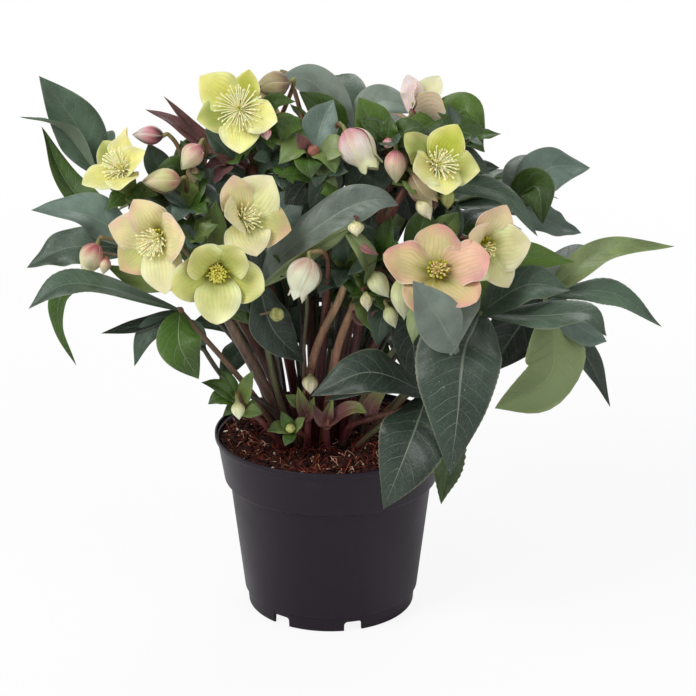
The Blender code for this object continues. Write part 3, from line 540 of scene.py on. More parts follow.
# Flowering stems. A line at the margin has the points that the stem passes above its root.
# root and look: as for a leaf. radius: at the root and at the top. The rows under it are:
# branch: how far up the stem, what the branch carries, and the points that it passes.
# bract: how far up the stem, then a leaflet as above.
# tuft: a rosette of small bracts: its middle, the way it points, and their number, length, width
# and looks.
# bud: a small bud, as above.
STEMS = table("""
left_low -5.5,-4.5,21 -8,-6.5,27 -9.5,-7,30.5 root=222,1.6 radius=0.5,0.35 look=grey_brown
  branch 0.97 flower_front_left
  branch 1 flower_left
  branch 0.8 bud_left_low -14,-7.2,32.6 -17,-8,33.8
  bract 0.92 grey 2 -0.3,-0.9,0.3 -10.5,-6,32.6 -11.2,-6,34.4 tone=1.1
  bract 0.97 bract 2.2 0.2,-0.9,0.3 -9,-5.5,33.5 -8.7,-5.5,36
  bract 0.97 green 1.6 -0.2,-0.9,0.4 -11.6,-6.4,33.4 -12.4,-6.2,35
  bract 0.9 deep 2.6 0.3,-0.9,0.3 -8,-7.2,29.5 -6.2,-7.4,27.6
  bract 0.85 green 2.8 0.2,-0.9,0.3 -7.2,-6.9,28.3 -5.2,-6.9,26.2 tone=0.8
  bract 0.95 bract 1.5 0,-0.8,0.6 -13.9,-6.5,29.6 -15.8,-6.6,30.5 -17.2,-6.8,31.3
  tuft -10.4,-6.2,33 0,-0.6,0.8 8 2.4 1.5 grey,bract,green
  bud -16.9,-8.4,32.3 -0.2,-0.5,-0.8 1.3 0.42 bud_blush
  bud -4.1,-7.4,27.6 0,-1,-0.1 0.9 0.55 bud_green
left_top -5,-2,21 -9,-2.5,29 -11.5,-3,35.5 root=185,1.6 radius=0.45,0.3 look=brown
  branch 1 flower_far_left
  branch 0.98 bud_left_top_1 -11.5,-3,39
  branch 0.93 bud_left_top_2 -9.5,-4,39
  branch 0.96 bud_left_top_3
  bract 0.97 dark 2.2 0.2,-0.8,0.5 -13.3,-2.5,38 -14,-2.5,39.8
  bract 0.95 green 2.4 -0.2,-0.5,0.8 -14,-4,35.8 -15.5,-5,35.2
  bract 0.95 grey 2.4 0.2,-0.7,0.7 -9.8,-4,36 -8.6,-4.5,35
  bract 0.97 green 2 0.1,-0.8,0.6 -11.6,-4.4,38.2 -13.2,-5,38.4 tone=0.8
  bract 0.98 dark 2.2 0.1,-0.8,0.6 -10.4,-4,38 -9.2,-4.2,37.2
  bract 0.99 green 1.8 0.1,-0.9,0.4 -11.2,-2.4,38.6 -10.2,-2,40.4 tone=0.8
  tuft -10.9,-4.6,35.2 0,-0.6,0.8 8 2.6 1.7 grey,green,bract
  tuft -15.2,-3.8,36.4 -0.2,-0.7,0.5 7 2.5 1.5 bract,green
  tuft -10.6,-3.4,38 0.1,-0.4,0.9 6 2.2 1.3 dark,green
  bud -10.5,-4.6,38.5 0.1,-0.4,-1 1.4 0.5 bud_brown
centre_left -3.5,-0.5,22 -5.5,-1.5,31 -6,-2,38 root=145,1.6 radius=0.45,0.3 look=red
  branch 1 flower_top_left
  branch 0.95 bud_top_left -3.5,-0.5,42
  branch 0.75 flower_inner_left
  bract 0.98 mauve 1.2 0.4,-0.8,0.4 -9.5,-2.6,40 -12.7,-3,43.6 fold=0.5
  bract 0.96 mauve 1.4 0,-0.6,0.8 -9.5,-2.8,39.6 -12,-3,41.6 -14.2,-2,42.3 fold=0.4
  bract 0.97 green 2.2 0.2,-0.8,0.5 -4.5,-3,39 -3.8,-3.5,40.8
  bract 0.93 dark 2.2 -0.2,-0.6,0.7 -7.8,-3.2,37.6 -8.8,-4,36.8
  bract 0.97 green 1.5 0.1,-0.8,0.5 -4.7,-2.4,42.6 -2.6,-2.4,43 tone=1.1
  bract 0.98 bright 2.4 0,-0.8,0.6 -3.9,-3,41 -1.7,-3.2,41.3
  bract 0.95 dark 2.4 0.2,-0.7,0.7 -4.4,-3.6,38.8 -2.6,-4.4,37.9
  tuft -5,-2.6,40.4 0.2,-0.6,0.8 7 2.8 1.7 green,bract
  tuft -4.2,-3,38.2 0.3,-0.6,0.6 8 3.2 1.9 dark,green,grey
  tuft -7.4,-2.4,38.4 -0.3,-0.6,0.7 7 2.8 1.6 mauve,green,dark
  bud -4.9,-4.2,41.3 0.1,-0.6,-0.7 1 0.42 bud_rose
centre -0.8,-2.5,21 -0.3,-3.2,29 -1.2,-3.8,39.3 root=260,1.6 radius=0.45,0.3 look=red
  branch 0.9 bud_centre_2 0.4,-3.4,41
  branch 0.5 bud_centre_1 -0.2,-8.6,32.2
  bract 1 bract 2.4 -0.1,-0.6,0.8 -2.5,-4.7,40 -3.9,-5.3,38.8 tone=0.95 wave=0.15
  bract 1 bract 2.4 0.1,-0.6,0.8 -0.2,-5,39.6 0.4,-5.8,38.2 fold=0.35 wave=0.15
  bract 1 grey 2.8 -0.2,-0.9,0.3 -0.6,-3.2,41.5 0.3,-2.6,43.2 tone=1.15 fold=0.3
  bract 1 green 2.3 0,-0.8,0.6 -3,-3.3,41 -4.3,-3.1,41.8 tone=1.1
  bract 1 olive 2.2 0,-0.7,0.7 0.2,-5,40 1.7,-5.3,39.9 tone=0.9
  bract 1 green 2.3 0,-0.6,0.8 -1.6,-5.4,39 -1.4,-6.2,37.9 tone=0.9
  bract 0.99 olive 2 0.2,-0.7,0.6 -0.7,-4.7,38.6 0.6,-5.6,37 tone=0.75
  bract 1 mauve 1.1 0.4,-0.8,0.3 -2.1,-5,40.4 -2.5,-5.4,41.3 tone=1.15
  bract 0.93 dark 2.8 0.2,-0.9,0.3 -0.4,-4.6,37.4 -1.6,-4.9,35.2 tone=0.9
  bract 0.93 deep 2.8 0,-0.9,0.3 -2,-4.2,36.9 -3.5,-4.2,34.6
  bract 0.93 bright 1.6 -0.5,-0.8,0.2 -0.2,-5,37 0.7,-5.2,35.4
  tuft -1,-3.9,37.6 0.1,-0.5,0.6 7 3 1.8 dark,green
  bud -1.3,-4.6,39.6 0.1,-0.8,0.4 0.8 0.45 bud_red
  bud 1.9,-8.2,35.1 0.1,-0.3,-0.9 1.15 0.6 bud_pale
centre_right 0.6,-2,20 2.5,-2.8,29 4.5,-3,36 4.6,-3,39.5 root=310,1.6 radius=0.45,0.3 look=brown
  branch 0.96 bud_centre_right_1 4.8,-3.9,40.3
  branch 1 flower_crest 6,-1.5,40
  branch 0.9 flower_top_right
  branch 0.86 bud_centre_right_2 5.9,-4,38
  bract 0.99 bright 3.2 0.2,-0.8,0.5 3.2,-3,41.5 2.2,-3.2,43.5 fold=0.25
  bract 0.97 bright 3.4 -0.2,-0.9,0.3 9.2,-0.6,41.2 10.9,-0.8,42 12.1,-1.2,40.2
    tone=0.85 widest=0.6 fold=0.1
  bract 0.9 dark 2.4 0.1,-0.6,0.8 9.5,-3,36.8 13.5,-4.3,36 16,-5.3,33 tone=1.1
  bract 0.99 green 2.2 0,-0.8,0.6 5.8,-3.8,41 7.2,-3.9,41.4 tone=0.85
  bract 0.98 dark 2.2 -0.4,-0.8,0.1 4.4,-4.3,38.6 3.5,-4.6,35.8 tone=0.9
  bract 0.95 dark 3 0,-0.9,0.4 2.8,-3.4,37.8 1.2,-3.4,35.6 tone=0.85
  bract 0.97 green 2.8 0.1,-0.7,0.7 10,-2.6,40.6 12,-2.6,39 tone=0.8
  bract 0.93 dark 2.6 0.1,-0.7,0.7 9.8,-2.8,38.8 12.4,-3,37.4 tone=0.9
  bract 0.9 green 2.6 0.1,-0.8,0.5 7.6,-3.6,36.8 9.6,-4.2,35 tone=0.8
  bract 0.9 deep 3.2 0.1,-0.9,0.3 5.8,-1.6,35.4 6.6,-1,32.8 tone=0.8
  tuft 6.2,-3.8,37.2 0.1,-0.6,0.6 8 2.8 1.7 bract,dark,green
  tuft 9.6,-2.6,39.8 0.3,-0.4,0.9 8 3 1.8 green,dark
  tuft 4.4,-3.6,40 -0.1,-0.6,0.8 6 2.6 1.7 green,dark
  bud 4.4,-4.4,40.4 0.1,-0.8,-0.3 0.9 0.42 bud_rose
  bud 6.9,-5.3,36.1 0.4,-0.3,-0.8 1.9 0.6 bud_pale
  bud 9,-4.8,36.7 0,-0.3,-1 1.6 0.6 bud_green
right 2,-2.5,20 4.5,-4.5,26 6.5,-5,31 root=345,1.6 radius=0.45,0.3 look=red
  branch 1 flower_front_right
  branch 0.97 flower_right 10,-5.5,33
  branch 0.85 bud_right_1 3.2,-6.5,31.2
  branch 0.75 bud_right_2 4.8,-6.5,28.3
  branch 0.92 bud_right_3 5.4,-7.4,31
  bract 0.98 green 2.4 0,-0.9,0.4 7,-5,33.5 7.5,-5,35.5 tone=0.8
  bract 0.97 bract 2.2 0,-0.9,0.4 8.8,-5.4,33.6 9.8,-6,35.2 tone=0.9
  bract 0.8 green 2 -0.1,-0.8,0.6 3.4,-6.2,29 1.6,-6.4,28 tone=0.85 wave=0.2
  bract 0.8 green 2.2 0.2,-0.8,0.5 4.4,-6.8,28.6 5.6,-7.2,26.8 tone=0.9 wave=0.2
  bract 0.7 dark 2.4 0,-0.9,0.3 4,-6,26.6 3.6,-6.6,24.6 tone=0.8
  tuft 4,-5.8,31.4 -0.2,-0.6,0.7 8 3 1.8 green,dark
  tuft 3.2,-6,29 0,-0.7,0.5 6 2.2 1.4 bract,green
  tuft 9.4,-5,32.6 0.3,-0.4,0.8 6 2.6 1.6 dark,green
  bud 2.7,-8.2,29.4 0.1,-0.3,-0.9 1.4 0.45 bud_pale
shoot_left -5.2,-6.5,18 -7,-7.8,20.3 root=238,3.6 radius=0.25,0.18 look=red
  branch 0.97 bud_shoot_left -7.2,-8.2,21.3
  bract 0.95 green 1.4 0,-0.6,0.8 -8.5,-8.3,21 -9.5,-8.5,20.5
  bract 0.97 green 1.2 0.3,-0.6,0.8 -7.9,-7.5,22 -8.6,-7.3,23
  bract 0.97 green 1.2 0,-0.6,0.8 -8.6,-8.1,21.8 -10,-8.2,22.2 tone=0.8
  bract 0.95 bract 1.3 -0.2,-0.8,0.5 -6.6,-8,21.6 -6,-8,23.1
  bract 0.9 bract 1.6 0.2,-0.8,0.5 -6.3,-8,19.9 -5.3,-8,19.5 tone=1.1
  bract 0.85 green 1.2 -0.2,-0.8,0.6 -7.4,-8,20.1 -8.4,-8.3,19.4 tone=0.8
shoot_front -2,-5,16.3 -3,-6.2,17.3 root=262,3.4 radius=0.22,0.16 look=red
  bract 0.97 bract 1.3 0,-0.6,0.8 -4,-6.6,17.8 -5,-7,17.6
  bract 0.97 bract 1.1 0,-0.6,0.8 -2.6,-6.6,18 -2,-7,18.8 tone=1.15
  bract 0.97 green 1 0,-0.8,0.5 -3.4,-6.7,18.2 -3.9,-6.6,19.2
  bract 0.97 green 1 0,-0.6,0.8 -3.3,-7.1,17.1 -3.6,-7.6,16.6
  bud -3.2,-6.5,17.6 0.1,-0.7,0.5 0.8 0.38 bud_green
back -1.5,3,21 -1.5,6,30 -1,7,36 root=95,1.6 radius=0.45,0.3 look=brown
  branch 1 flower_back_left
  branch 0.97 flower_back_right
  branch 0.95 bud_back -3,7.6,42
  bract 0.97 bract 2.4 0,0.8,0.5 -1,8.5,38 -0.5,10,39.5
  bract 0.95 green 2.4 -0.1,0.5,0.8 -3,9,35.8 -4.5,11,35
  bract 0.95 green 2.4 0.1,0.5,0.8 1.2,9,35.8 3,11,35
  tuft -1,7.4,37.4 0,0.5,0.9 8 3.2 1.8 green,bract
  tuft -3.6,8.4,36.6 -0.4,0.5,0.6 7 3 1.7 dark,green
  tuft 2.6,8.6,37 0.4,0.5,0.6 7 3 1.7 dark,green
  bud 0.6,10.2,40.2 0.3,0.6,-0.5 1.8 0.7 bud_pink
  bud -4.6,10.6,35 -0.4,0.6,-0.6 2 0.8 bud_white
""")

# Stalks and shoots that the CAD leaves out, in the same form.
SHOOTS = table("""
pair_left -1.3,-4.6,23 0.8,-5,28.1 1.5,-5,30.5 root=225,2.6 radius=0.34,0.28 look=tan
  bract 0.97 green 2.2 0.2,-0.8,0.5 1.6,-6,30 2.6,-7,28.6 tone=0.85 wave=0.2
  bract 0.97 dark 2.2 -0.2,-0.8,0.5 0.2,-6.2,30.2 -1,-7,29 wave=0.2
  bract 0.97 dark 2.4 0,-0.9,0.4 1.3,-6,32.4 1.2,-6.6,34
  tuft 1.2,-5.4,30.6 0,-0.6,0.7 8 2.8 1.7 dark,green,bract
pair_right 0.4,-4.8,23 2.1,-5,28.1 2.8,-5,30 root=275,2 radius=0.34,0.28 look=tan
  bract 0.6 mauve 0.9 0,-0.8,0.6 2.4,-5.8,26.4 3.6,-6.2,27.4
  bract 0.97 green 2.2 0.2,-0.8,0.5 4,-6,28.6 5.4,-7,27 wave=0.25
  bract 0.85 bract 1.8 0.2,-0.9,0.3 2.8,-5.8,27.2 3.4,-6.4,25.6 tone=0.85 wave=0.2
  tuft 3,-5.4,29.8 0.1,-0.6,0.6 7 2.4 1.5 green,bract
bundle 1.6,-3.4,21 3.2,-4.6,30.7 5.1,-4.6,35.4 6.4,-4.2,37.5 root=320,2.4 radius=0.36,0.26 look=red
  bract 0.97 mauve 2.2 0.1,-0.9,0.3 7.2,-5,36.6 8.1,-5.8,35.4 tone=1.2
thin_front -2.1,-5,22.7 -1.8,-5.5,28 -2.4,-6,30.5 root=250,2.2 radius=0.16,0.13 look=petiole
  bract 0.98 grey 1.6 -0.3,-0.8,0.4 -2,-6.8,31.6 -1,-7.4,33
  tuft -2.4,-6,30.5 0,-0.6,0.6 6 2.2 1.4 green,dark
dark_left -4.6,-5,18.6 -8,-6.6,21.6 -10,-6.6,24.6 root=228,3 radius=0.24,0.18 look=dark_petiole
  bract 0.98 dark 1.6 0,-0.8,0.6 -10.6,-7,26 -12,-7.4,27
sheath_left -1.8,-4.4,17.6 -2.3,-4.5,19 root=250,3 radius=0.3,0.22 look=mauve
  bract 0.5 sheath 1.2 0.3,-0.9,0.2 -2.2,-4.9,18.8 -2.6,-4.9,20.6 fold=0.4
  bract 0.6 sheath 0.9 -0.3,-0.9,0.2 -1.6,-4.9,18.4 -1.3,-5,19.8 fold=0.4
  bract 0.9 bract 1 0,-0.8,0.5 -2.8,-5,19.4 -3.6,-5.2,20
  bud -1.6,-5.2,21.6 0,-0.5,-0.8 1.5 0.6 bud_pale
sheath_middle -0.3,-4.6,17 0,-4.8,18.2 root=285,3 radius=0.3,0.22 look=mauve
  bract 0.5 sheath 1.3 -0.3,-0.7,0.6 0.8,-5.2,18.4 2,-5.8,19.1 2.9,-6.2,18.8 fold=0.5
  bract 0.6 sheath 0.9 0.1,-0.9,0.2 -0.2,-5.2,18.4 0.2,-5.2,19.7 fold=0.5
  bract 0.6 mauve 1 0.1,-0.9,0.2 -0.8,-5.2,18 -1.4,-5.6,19.4 fold=0.5
sheath_right 1.4,-3.8,16.6 3.6,-5.4,18.2 5.6,-7,19.4 root=318,2.6 radius=0.3,0.2 look=mauve
  bract 0.6 sheath 1.4 -0.2,-0.8,0.4 3.4,-5,19.2 4.6,-5.2,20.8 fold=0.5
""")

# Leaves inside the plant that the CAD leaves out: the hub, and the root of the stalk as for a leaf.
INNER_LEAVES = [read(word) for word in """
-6,1,27,165,2.6 -2.5,3.5,30,120,2.6 2.5,3,31.5,70,2.6 6.5,1.5,28.5,30,2.6 0,-0.5,27,290,0.8
-9.5,2.5,33,160,3.4 7.5,3.5,34.5,40,3.2 -4,0.5,34.5,140,1 3.5,0,34.5,10,1 9.5,-1,30.5,355,3.2
-7.5,-2,31.5,190,2.2 0.5,2,36,80,1 -3.5,1.5,25,150,1.4 1.5,2.5,25.5,60,1.5 5.5,1,26,20,2.2
-1,4.5,26.5,95,2.2 9,1.5,34.5,30,2 -6.5,3,37,150,1.8 -2.5,3.5,21.5,120,2.6 2.2,4,22,60,2.6
-5.8,2.5,22,160,3 5.5,3,22.5,30,3
""".split()]


# Shapes ------------------------------------------------------------------------------------------


def unit(vectors):
    vectors = np.asarray(vectors, float)
    return vectors / np.maximum(np.linalg.norm(vectors, axis=-1, keepdims=True), 1e-9)


def spoke(turn, first, second):
    """The direction at this turn from the first direction towards the second."""
    return math.cos(turn) * first + math.sin(turn) * second


def sides_of(way):
    """Two directions at right angles to this one and to each other."""
    side = unit(np.cross(way, (0.31, 0.83, 0.46)))
    return side, np.cross(way, side)


def smooth_curve(points, steps):
    """steps + 1 points, evenly spaced in parameter, on a smooth curve through the given points."""
    points = [np.asarray(point, float) for point in points]
    points = [points[0] * 2 - points[1], *points, points[-1] * 2 - points[-2]]
    spans = len(points) - 3
    curve = []
    for step in range(steps + 1):
        place = step / steps * spans
        span = min(int(place), spans - 1)
        a, b, c, d = points[span : span + 4]
        t = place - span
        square, cube = 2 * a - 5 * b + 4 * c - d, 3 * b - a - 3 * c + d
        curve.append(0.5 * (2 * b + (c - a) * t + square * t**2 + cube * t**3))
    return np.array(curve)


def directions(path):
    ahead = np.vstack([path[1:], path[-1:]])
    behind = np.vstack([path[:1], path[:-1]])
    return unit(ahead - behind)


def spread(low, high, share):
    """From 0 to 1, smoothly, as share goes from low to high."""
    x = np.clip((np.asarray(share, float) - low) / (high - low), 0, 1)
    return x * x * (3 - 2 * x)


def blend(first, second, share):
    return first + (np.asarray(second) - first) * np.asarray(share)[..., None]


def add_object(name, data):
    made = bpy.data.objects.new(name, data)
    bpy.context.scene.collection.objects.link(made)
    return made


class Piece:
    """Gathers closed skins into one mesh, with a tint and a place on the blade at each point."""

    def __init__(self, name):
        self.name = name
        self.random = np.random.default_rng(zlib.crc32(name.encode()))
        self.points, self.faces, self.tints, self.forms = [], [], [], []
        self.count = 0

    def skin(self, rings, tints, forms, tip=None):
        """Joins rings of points, and closes each end at its middle, or the last at the tip."""
        rings = np.asarray(rings, float)
        steps, around = rings.shape[:2]
        ends = [rings[0].mean(0), rings[-1].mean(0) if tip is None else tip]
        self.points.append(np.vstack([rings.reshape(-1, 3), ends]))
        for kept, values, width in ((self.tints, tints, 3), (self.forms, forms, 4)):
            values = np.broadcast_to(values, (steps, around, width)).reshape(-1, width)
            kept.append(np.vstack([values, values[0], values[-1]]))
        grid = self.count + np.arange(steps * around).reshape(steps, around)
        self.count += steps * around + 2
        near, far = grid[:-1], grid[1:]
        quads = np.stack([near, np.roll(near, -1, 1), np.roll(far, -1, 1), far], -1)
        self.faces += quads.reshape(-1, 4).tolist()
        low, high = grid[0], grid[-1]
        for first, second, middle in (
            (np.roll(low, -1), low, self.count - 2),
            (high, np.roll(high, -1), self.count - 1),
        ):
            self.faces += [[int(a), int(b), middle] for a, b in zip(first, second)]

    def build(self, material, slot, *nodes):
        mesh = bpy.data.meshes.new(self.name)
        mesh.from_pydata((np.vstack(self.points) * CM).tolist(), [], self.faces)
        for name, values, width in (("Tint", self.tints, 3), ("Form", self.forms, 4)):
            layer = mesh.color_attributes.new(name, "FLOAT_COLOR", "POINT")
            colours = np.ones((self.count, 4), np.float32)
            colours[:, :width] = np.vstack(values)
            layer.data.foreach_set("color", colours.ravel())
        mesh.materials.append(material)
        mesh.shade_smooth()
        mesh.set_sharp_from_angle(angle=SMOOTH_ANGLE)
        made = add_object(self.name, mesh)
        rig.ride(made, "root")
        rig.slot(made, slot)
        if nodes:
            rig.replaces(made, *nodes)


def tube(piece, path, radii, tints, sides=12, rough=0.0):
    """A round stalk along a path, with a radius and a tint at each point."""
    path = np.asarray(path, float)
    count = len(path)
    radii = np.broadcast_to(radii, count)
    along = directions(path)
    side, _ = sides_of(along[0])
    turns = 2 * math.pi * np.arange(sides) / sides
    rings = []
    for i in range(count):
        side = unit(side - along[i] * side.dot(along[i]))
        over = np.cross(along[i], side)
        reach = radii[i] * (1 + rough * np.sin(turns * 3 + i * 0.2))
        across, upward = np.cos(turns) * reach, np.sin(turns) * reach
        rings.append(path[i] + across[:, None] * side + upward[:, None] * over)
    forms = np.zeros((count, sides, 4))
    forms[..., 0] = np.arange(sides) / sides
    forms[..., 1] = np.linspace(0, 1, count)[:, None]
    forms[..., 3] = np.linalg.norm(path[-1] - path[0]) / 10
    piece.skin(rings, np.broadcast_to(np.asarray(tints, float), (count, 3))[:, None], forms)


def blade(piece, points, width, face, paint, steps, span, outline, thick=0.03, fold=0.2, roll=0.12,
          wave=0.05, waves=3.0, phase=0.0, twist=0.0, skew=0.0, teeth=0.0, cup=0.0, sway=0.0, quilt=0.0):
    """A leaflet, bract or sepal, with an upper and a lower side that meet in a thin rim.

    outline gives half its width along it. fold lifts both halves from the midrib, roll turns the rim
    down, cup lifts it, and wave ripples it, as often as waves says. twist turns the tip, in degrees.
    skew makes one half wider, sway bends the halves unevenly, teeth notches the rim, and quilt raises
    the surface between the side veins.
    """
    path = smooth_curve(points, steps)
    along = directions(path)
    across = unit(np.cross(along, unit(face)))
    upper = np.cross(across, along)
    t = np.linspace(0, 1, steps + 1)
    turn = math.radians(twist) * t[:, None]
    across, upper = across * np.cos(turn) + upper * np.sin(turn), upper * np.cos(turn) - across * np.sin(turn)
    top = np.linspace(-1, 1, span + 1)
    u = np.concatenate([top, top[-2:0:-1]])
    side = np.concatenate([np.ones(span + 1), -np.ones(span - 1)])
    T, U = np.meshgrid(t, u, indexing="ij")
    S = np.broadcast_to(side, T.shape)
    edge = np.abs(U)
    half = width / 2 * outline(T) * (1 + skew * np.sign(U) * np.abs(U))
    saw = 1 - ((T * steps / 2 + 0.25 * np.sign(U)) % 1)
    half = half * (1 + teeth * spread(0.75, 1, edge) * saw * spread(0.15, 0.4, T))
    length = np.linalg.norm(np.diff(path, axis=0), axis=1).sum()
    vein = (T * length * VEINS_PER_CM - VEIN_SWEEP * edge**1.25) % 1

    def ripple(turns):
        return np.sin(2 * math.pi * turns)

    lift = half * (fold * edge**1.2 - roll * edge**4 + cup * edge**2)
    lift = lift + wave * half * edge**2 * ripple(waves * T + phase + 0.23 * np.sign(U))
    lift = lift + sway * half * U * ripple(0.9 * T + phase)
    lift = lift + sway * half * edge**1.5 * ripple(1.6 * T + 2.3 * phase + 0.3 * U)
    lift = lift + quilt * half * edge**0.7 * (1 - edge**4) * np.sin(math.pi * vein)
    lift = lift + S * thick * (1 - edge**6)
    rings = path[:, None] + across[:, None] * (half * U)[..., None] + upper[:, None] * lift[..., None]
    forms = np.stack([(U + 1) / 2, T, (S < 0).astype(float), np.full(T.shape, length / 10)], -1)
    piece.skin(rings[:-1], paint(T[:-1], U[:-1], S[:-1]), forms[:-1], rings[-1].mean(0))


def leaf_outline(widest):
    return lambda t: np.maximum(np.sin(math.pi * np.clip(t, 0, 1) ** widest), 0.14 * (1 - t))


def sepal_outline(blunt, sharp):
    """Narrow at its base, broad in the middle, and drawn to a short point."""

    def width(t):
        rise = 0.24 + 0.76 * np.sin(math.pi / 2 * np.clip(t / 0.5, 0, 1)) ** 0.9
        past = np.clip((t - 0.5) / 0.5, 0, 1)
        return rise * (1 - past**blunt) ** sharp

    return width


# Materials ---------------------------------------------------------------------------------------


def add_node(tree, kind, inputs=(), **properties):
    """A node with its properties set, and with each input linked to an output or given a value."""
    made = tree.nodes.new(kind)
    for key, value in properties.items():
        setattr(made, key, value)
    for socket, value in dict(inputs).items():
        if isinstance(value, bpy.types.NodeSocket):
            tree.links.new(value, made.inputs[socket])
        else:
            made.inputs[socket].default_value = value
    return made


class Look:
    """A node material, written one value after another."""

    def __init__(self, name, **settings):
        self.material = bpy.data.materials.new(name)
        self.material.use_nodes = True
        self.tree = self.material.node_tree
        self.shader = self.tree.nodes["Principled BSDF"]
        for socket, value in settings.items():
            self.shader.inputs[socket.replace("_", " ")].default_value = value
        self.place = self.node("TexCoord").outputs["Object"]

    def node(self, kind, inputs=(), **properties):
        return add_node(self.tree, "ShaderNode" + kind, inputs, **properties)

    def math(self, operation, *values):
        return self.node("Math", enumerate(values), operation=operation).outputs[0]

    def times(self, first, second):
        return self.math("MULTIPLY", first, second)

    def times_plus(self, first, second, third):
        return self.math("MULTIPLY_ADD", first, second, third)

    def step(self, value, low, high, to_low=0.0, to_high=1.0):
        """From to_low to to_high, smoothly, as value goes from low to high."""
        inputs = {"Value": value, "From Min": low, "From Max": high, "To Min": to_low, "To Max": to_high}
        return self.node("MapRange", inputs, interpolation_type="SMOOTHSTEP").outputs["Result"]

    def noise(self, scale, detail=3.0, roughness=0.5, place=None):
        inputs = {"Vector": place or self.place, "Scale": scale, "Detail": detail, "Roughness": roughness}
        return self.node("TexNoise", inputs).outputs["Fac"]

    def cells(self, scale, feature="DISTANCE_TO_EDGE"):
        inputs = {"Vector": self.place, "Scale": scale}
        return self.node("TexVoronoi", inputs, feature=feature).outputs["Distance"]

    def mix(self, share, first, second, blend_type="MIX"):
        inputs = {0: share, 6: first, 7: second}
        inputs |= {key: (*value, 1) for key, value in inputs.items() if isinstance(value, tuple)}
        made = self.node("Mix", inputs, data_type="RGBA", blend_type=blend_type, clamp_factor=True)
        return made.outputs[2]

    def scaled(self, colour, value):
        """The colour times a number."""
        return self.node("VectorMath", {0: colour, "Scale": value}, operation="SCALE").outputs[0]

    def clouded(self, colour, grain, low, high, darkest, lightest):
        """The colour, darker where the grain is low and lighter where it is high."""
        return self.scaled(colour, self.step(grain, low, high, darkest, lightest))

    def tint(self):
        return self.node("Attribute", attribute_name="Tint").outputs["Color"]

    def form(self):
        """Distance from the midrib, place along the blade, lower side, length, and place across it."""
        found = self.node("Attribute", attribute_name="Form").outputs
        across, along, under = self.node("SeparateColor", {"Color": found["Color"]}).outputs
        centred = self.times_plus(across, 2.0, -1.0)
        return self.math("ABSOLUTE", centred), along, under, found["Alpha"], centred

    def set(self, **sockets):
        for socket, value in sockets.items():
            self.tree.links.new(value, self.shader.inputs[socket.replace("_", " ")])

    def bump(self, height, distance, strength):
        inputs = {"Height": height, "Distance": distance, "Strength": strength}
        self.set(Normal=self.node("Bump", inputs).outputs[0])
        return self.material


def leaf_look():
    look = Look("leaf_skin", Roughness=0.45, Specular_IOR_Level=0.4)
    tint = look.tint()
    edge, along, under, length, _ = look.form()
    # Side veins leave the midrib every centimetre or so and bend forward to the rim.
    bend = look.times(look.math("POWER", edge, 1.25), VEIN_SWEEP)
    wander = look.times(look.noise(60.0, 2.0), 0.4)
    run = look.times_plus(along, look.times(length, 10 * VEINS_PER_CM), wander)
    run = look.math("FRACT", look.math("SUBTRACT", run, bend))
    side = look.math("ABSOLUTE", look.math("SUBTRACT", run, 0.5))
    side_vein = look.times(look.step(side, 0.462, 0.495), look.step(edge, 1.0, 0.6))
    midrib = look.step(edge, look.step(along, 0.0, 1.0, 0.06, 0.03), 0.008)
    side_vein = look.times(side_vein, look.step(along, 0.0, 0.8, 0.55, 0.8))
    veins = look.math("MAXIMUM", midrib, side_vein)
    for scale, thick, share in ((260.0, 0.07, 0.2), (620.0, 0.08, 0.1)):
        net = look.step(look.cells(scale), 0.0, thick, 1.0, 0.0)
        veins = look.math("MAXIMUM", veins, look.times(net, share))
    upper = look.clouded(tint, look.noise(35.0, 4.0, 0.6), 0.3, 0.7, 0.74, 1.26)
    upper = look.mix(look.times(veins, 0.62), upper, look.mix(0.62, tint, (0.36, 0.42, 0.3)))
    lower = look.mix(0.45, tint, (0.17, 0.22, 0.105))
    lower = look.mix(look.times(veins, 0.35), lower, (0.33, 0.36, 0.2))
    colour = look.mix(under, upper, lower)
    colour = look.mix(look.times(look.step(edge, 0.93, 1.0), 0.3), colour, (0.36, 0.36, 0.22))
    specks = look.step(look.cells(170.0, "F1"), 0.09, 0.05)
    specks = look.times(specks, look.step(look.noise(47.0, 0.0), 0.64, 0.7))
    colour = look.mix(look.times(specks, 0.6), colour, (0.5, 0.52, 0.48))
    rough = look.times_plus(look.noise(90.0), 0.22, 0.3)
    look.set(Base_Color=colour, Roughness=look.times_plus(under, 0.2, rough))
    height = look.times_plus(look.noise(220.0), 0.25, look.times(veins, -0.8))
    return look.bump(height, 0.0006, 0.7)


def sepal_look():
    look = Look(
        "sepal_skin", Roughness=0.5, Specular_IOR_Level=0.3, Subsurface_Weight=0.25, Subsurface_Scale=0.002,
        Sheen_Weight=0.15,
    )
    tint = look.tint()
    edge, along, _, _, centred = look.form()
    # Fine veins run from the base and fan out to the rim.
    fan = look.times_plus(centred, 5.5, look.times(look.noise(80.0, 2.0), 1.8))
    lines = look.math("ABSOLUTE", look.math("SUBTRACT", look.math("FRACT", fan), 0.5))
    lines = look.times(look.step(lines, 0.24, 0.5), look.step(along, 1.05, 0.4))
    colour = look.clouded(tint, look.noise(55.0), 0.3, 0.7, 0.84, 1.08)
    vein = look.mix(1.0, tint, (0.62, 0.82, 0.42), "MULTIPLY")
    colour = look.mix(look.times(lines, 0.45), colour, vein)
    # A thin pale line along the rim: the sepal's paler margin, made brighter as a painted highlight along the edge.
    colour = look.mix(look.times(look.step(edge, 0.93, 0.99), 0.62), colour, (0.86, 0.74, 0.55))
    look.set(Base_Color=colour)
    return look.bump(look.times_plus(lines, -0.5, look.noise(300.0)), 0.0003, 0.6)


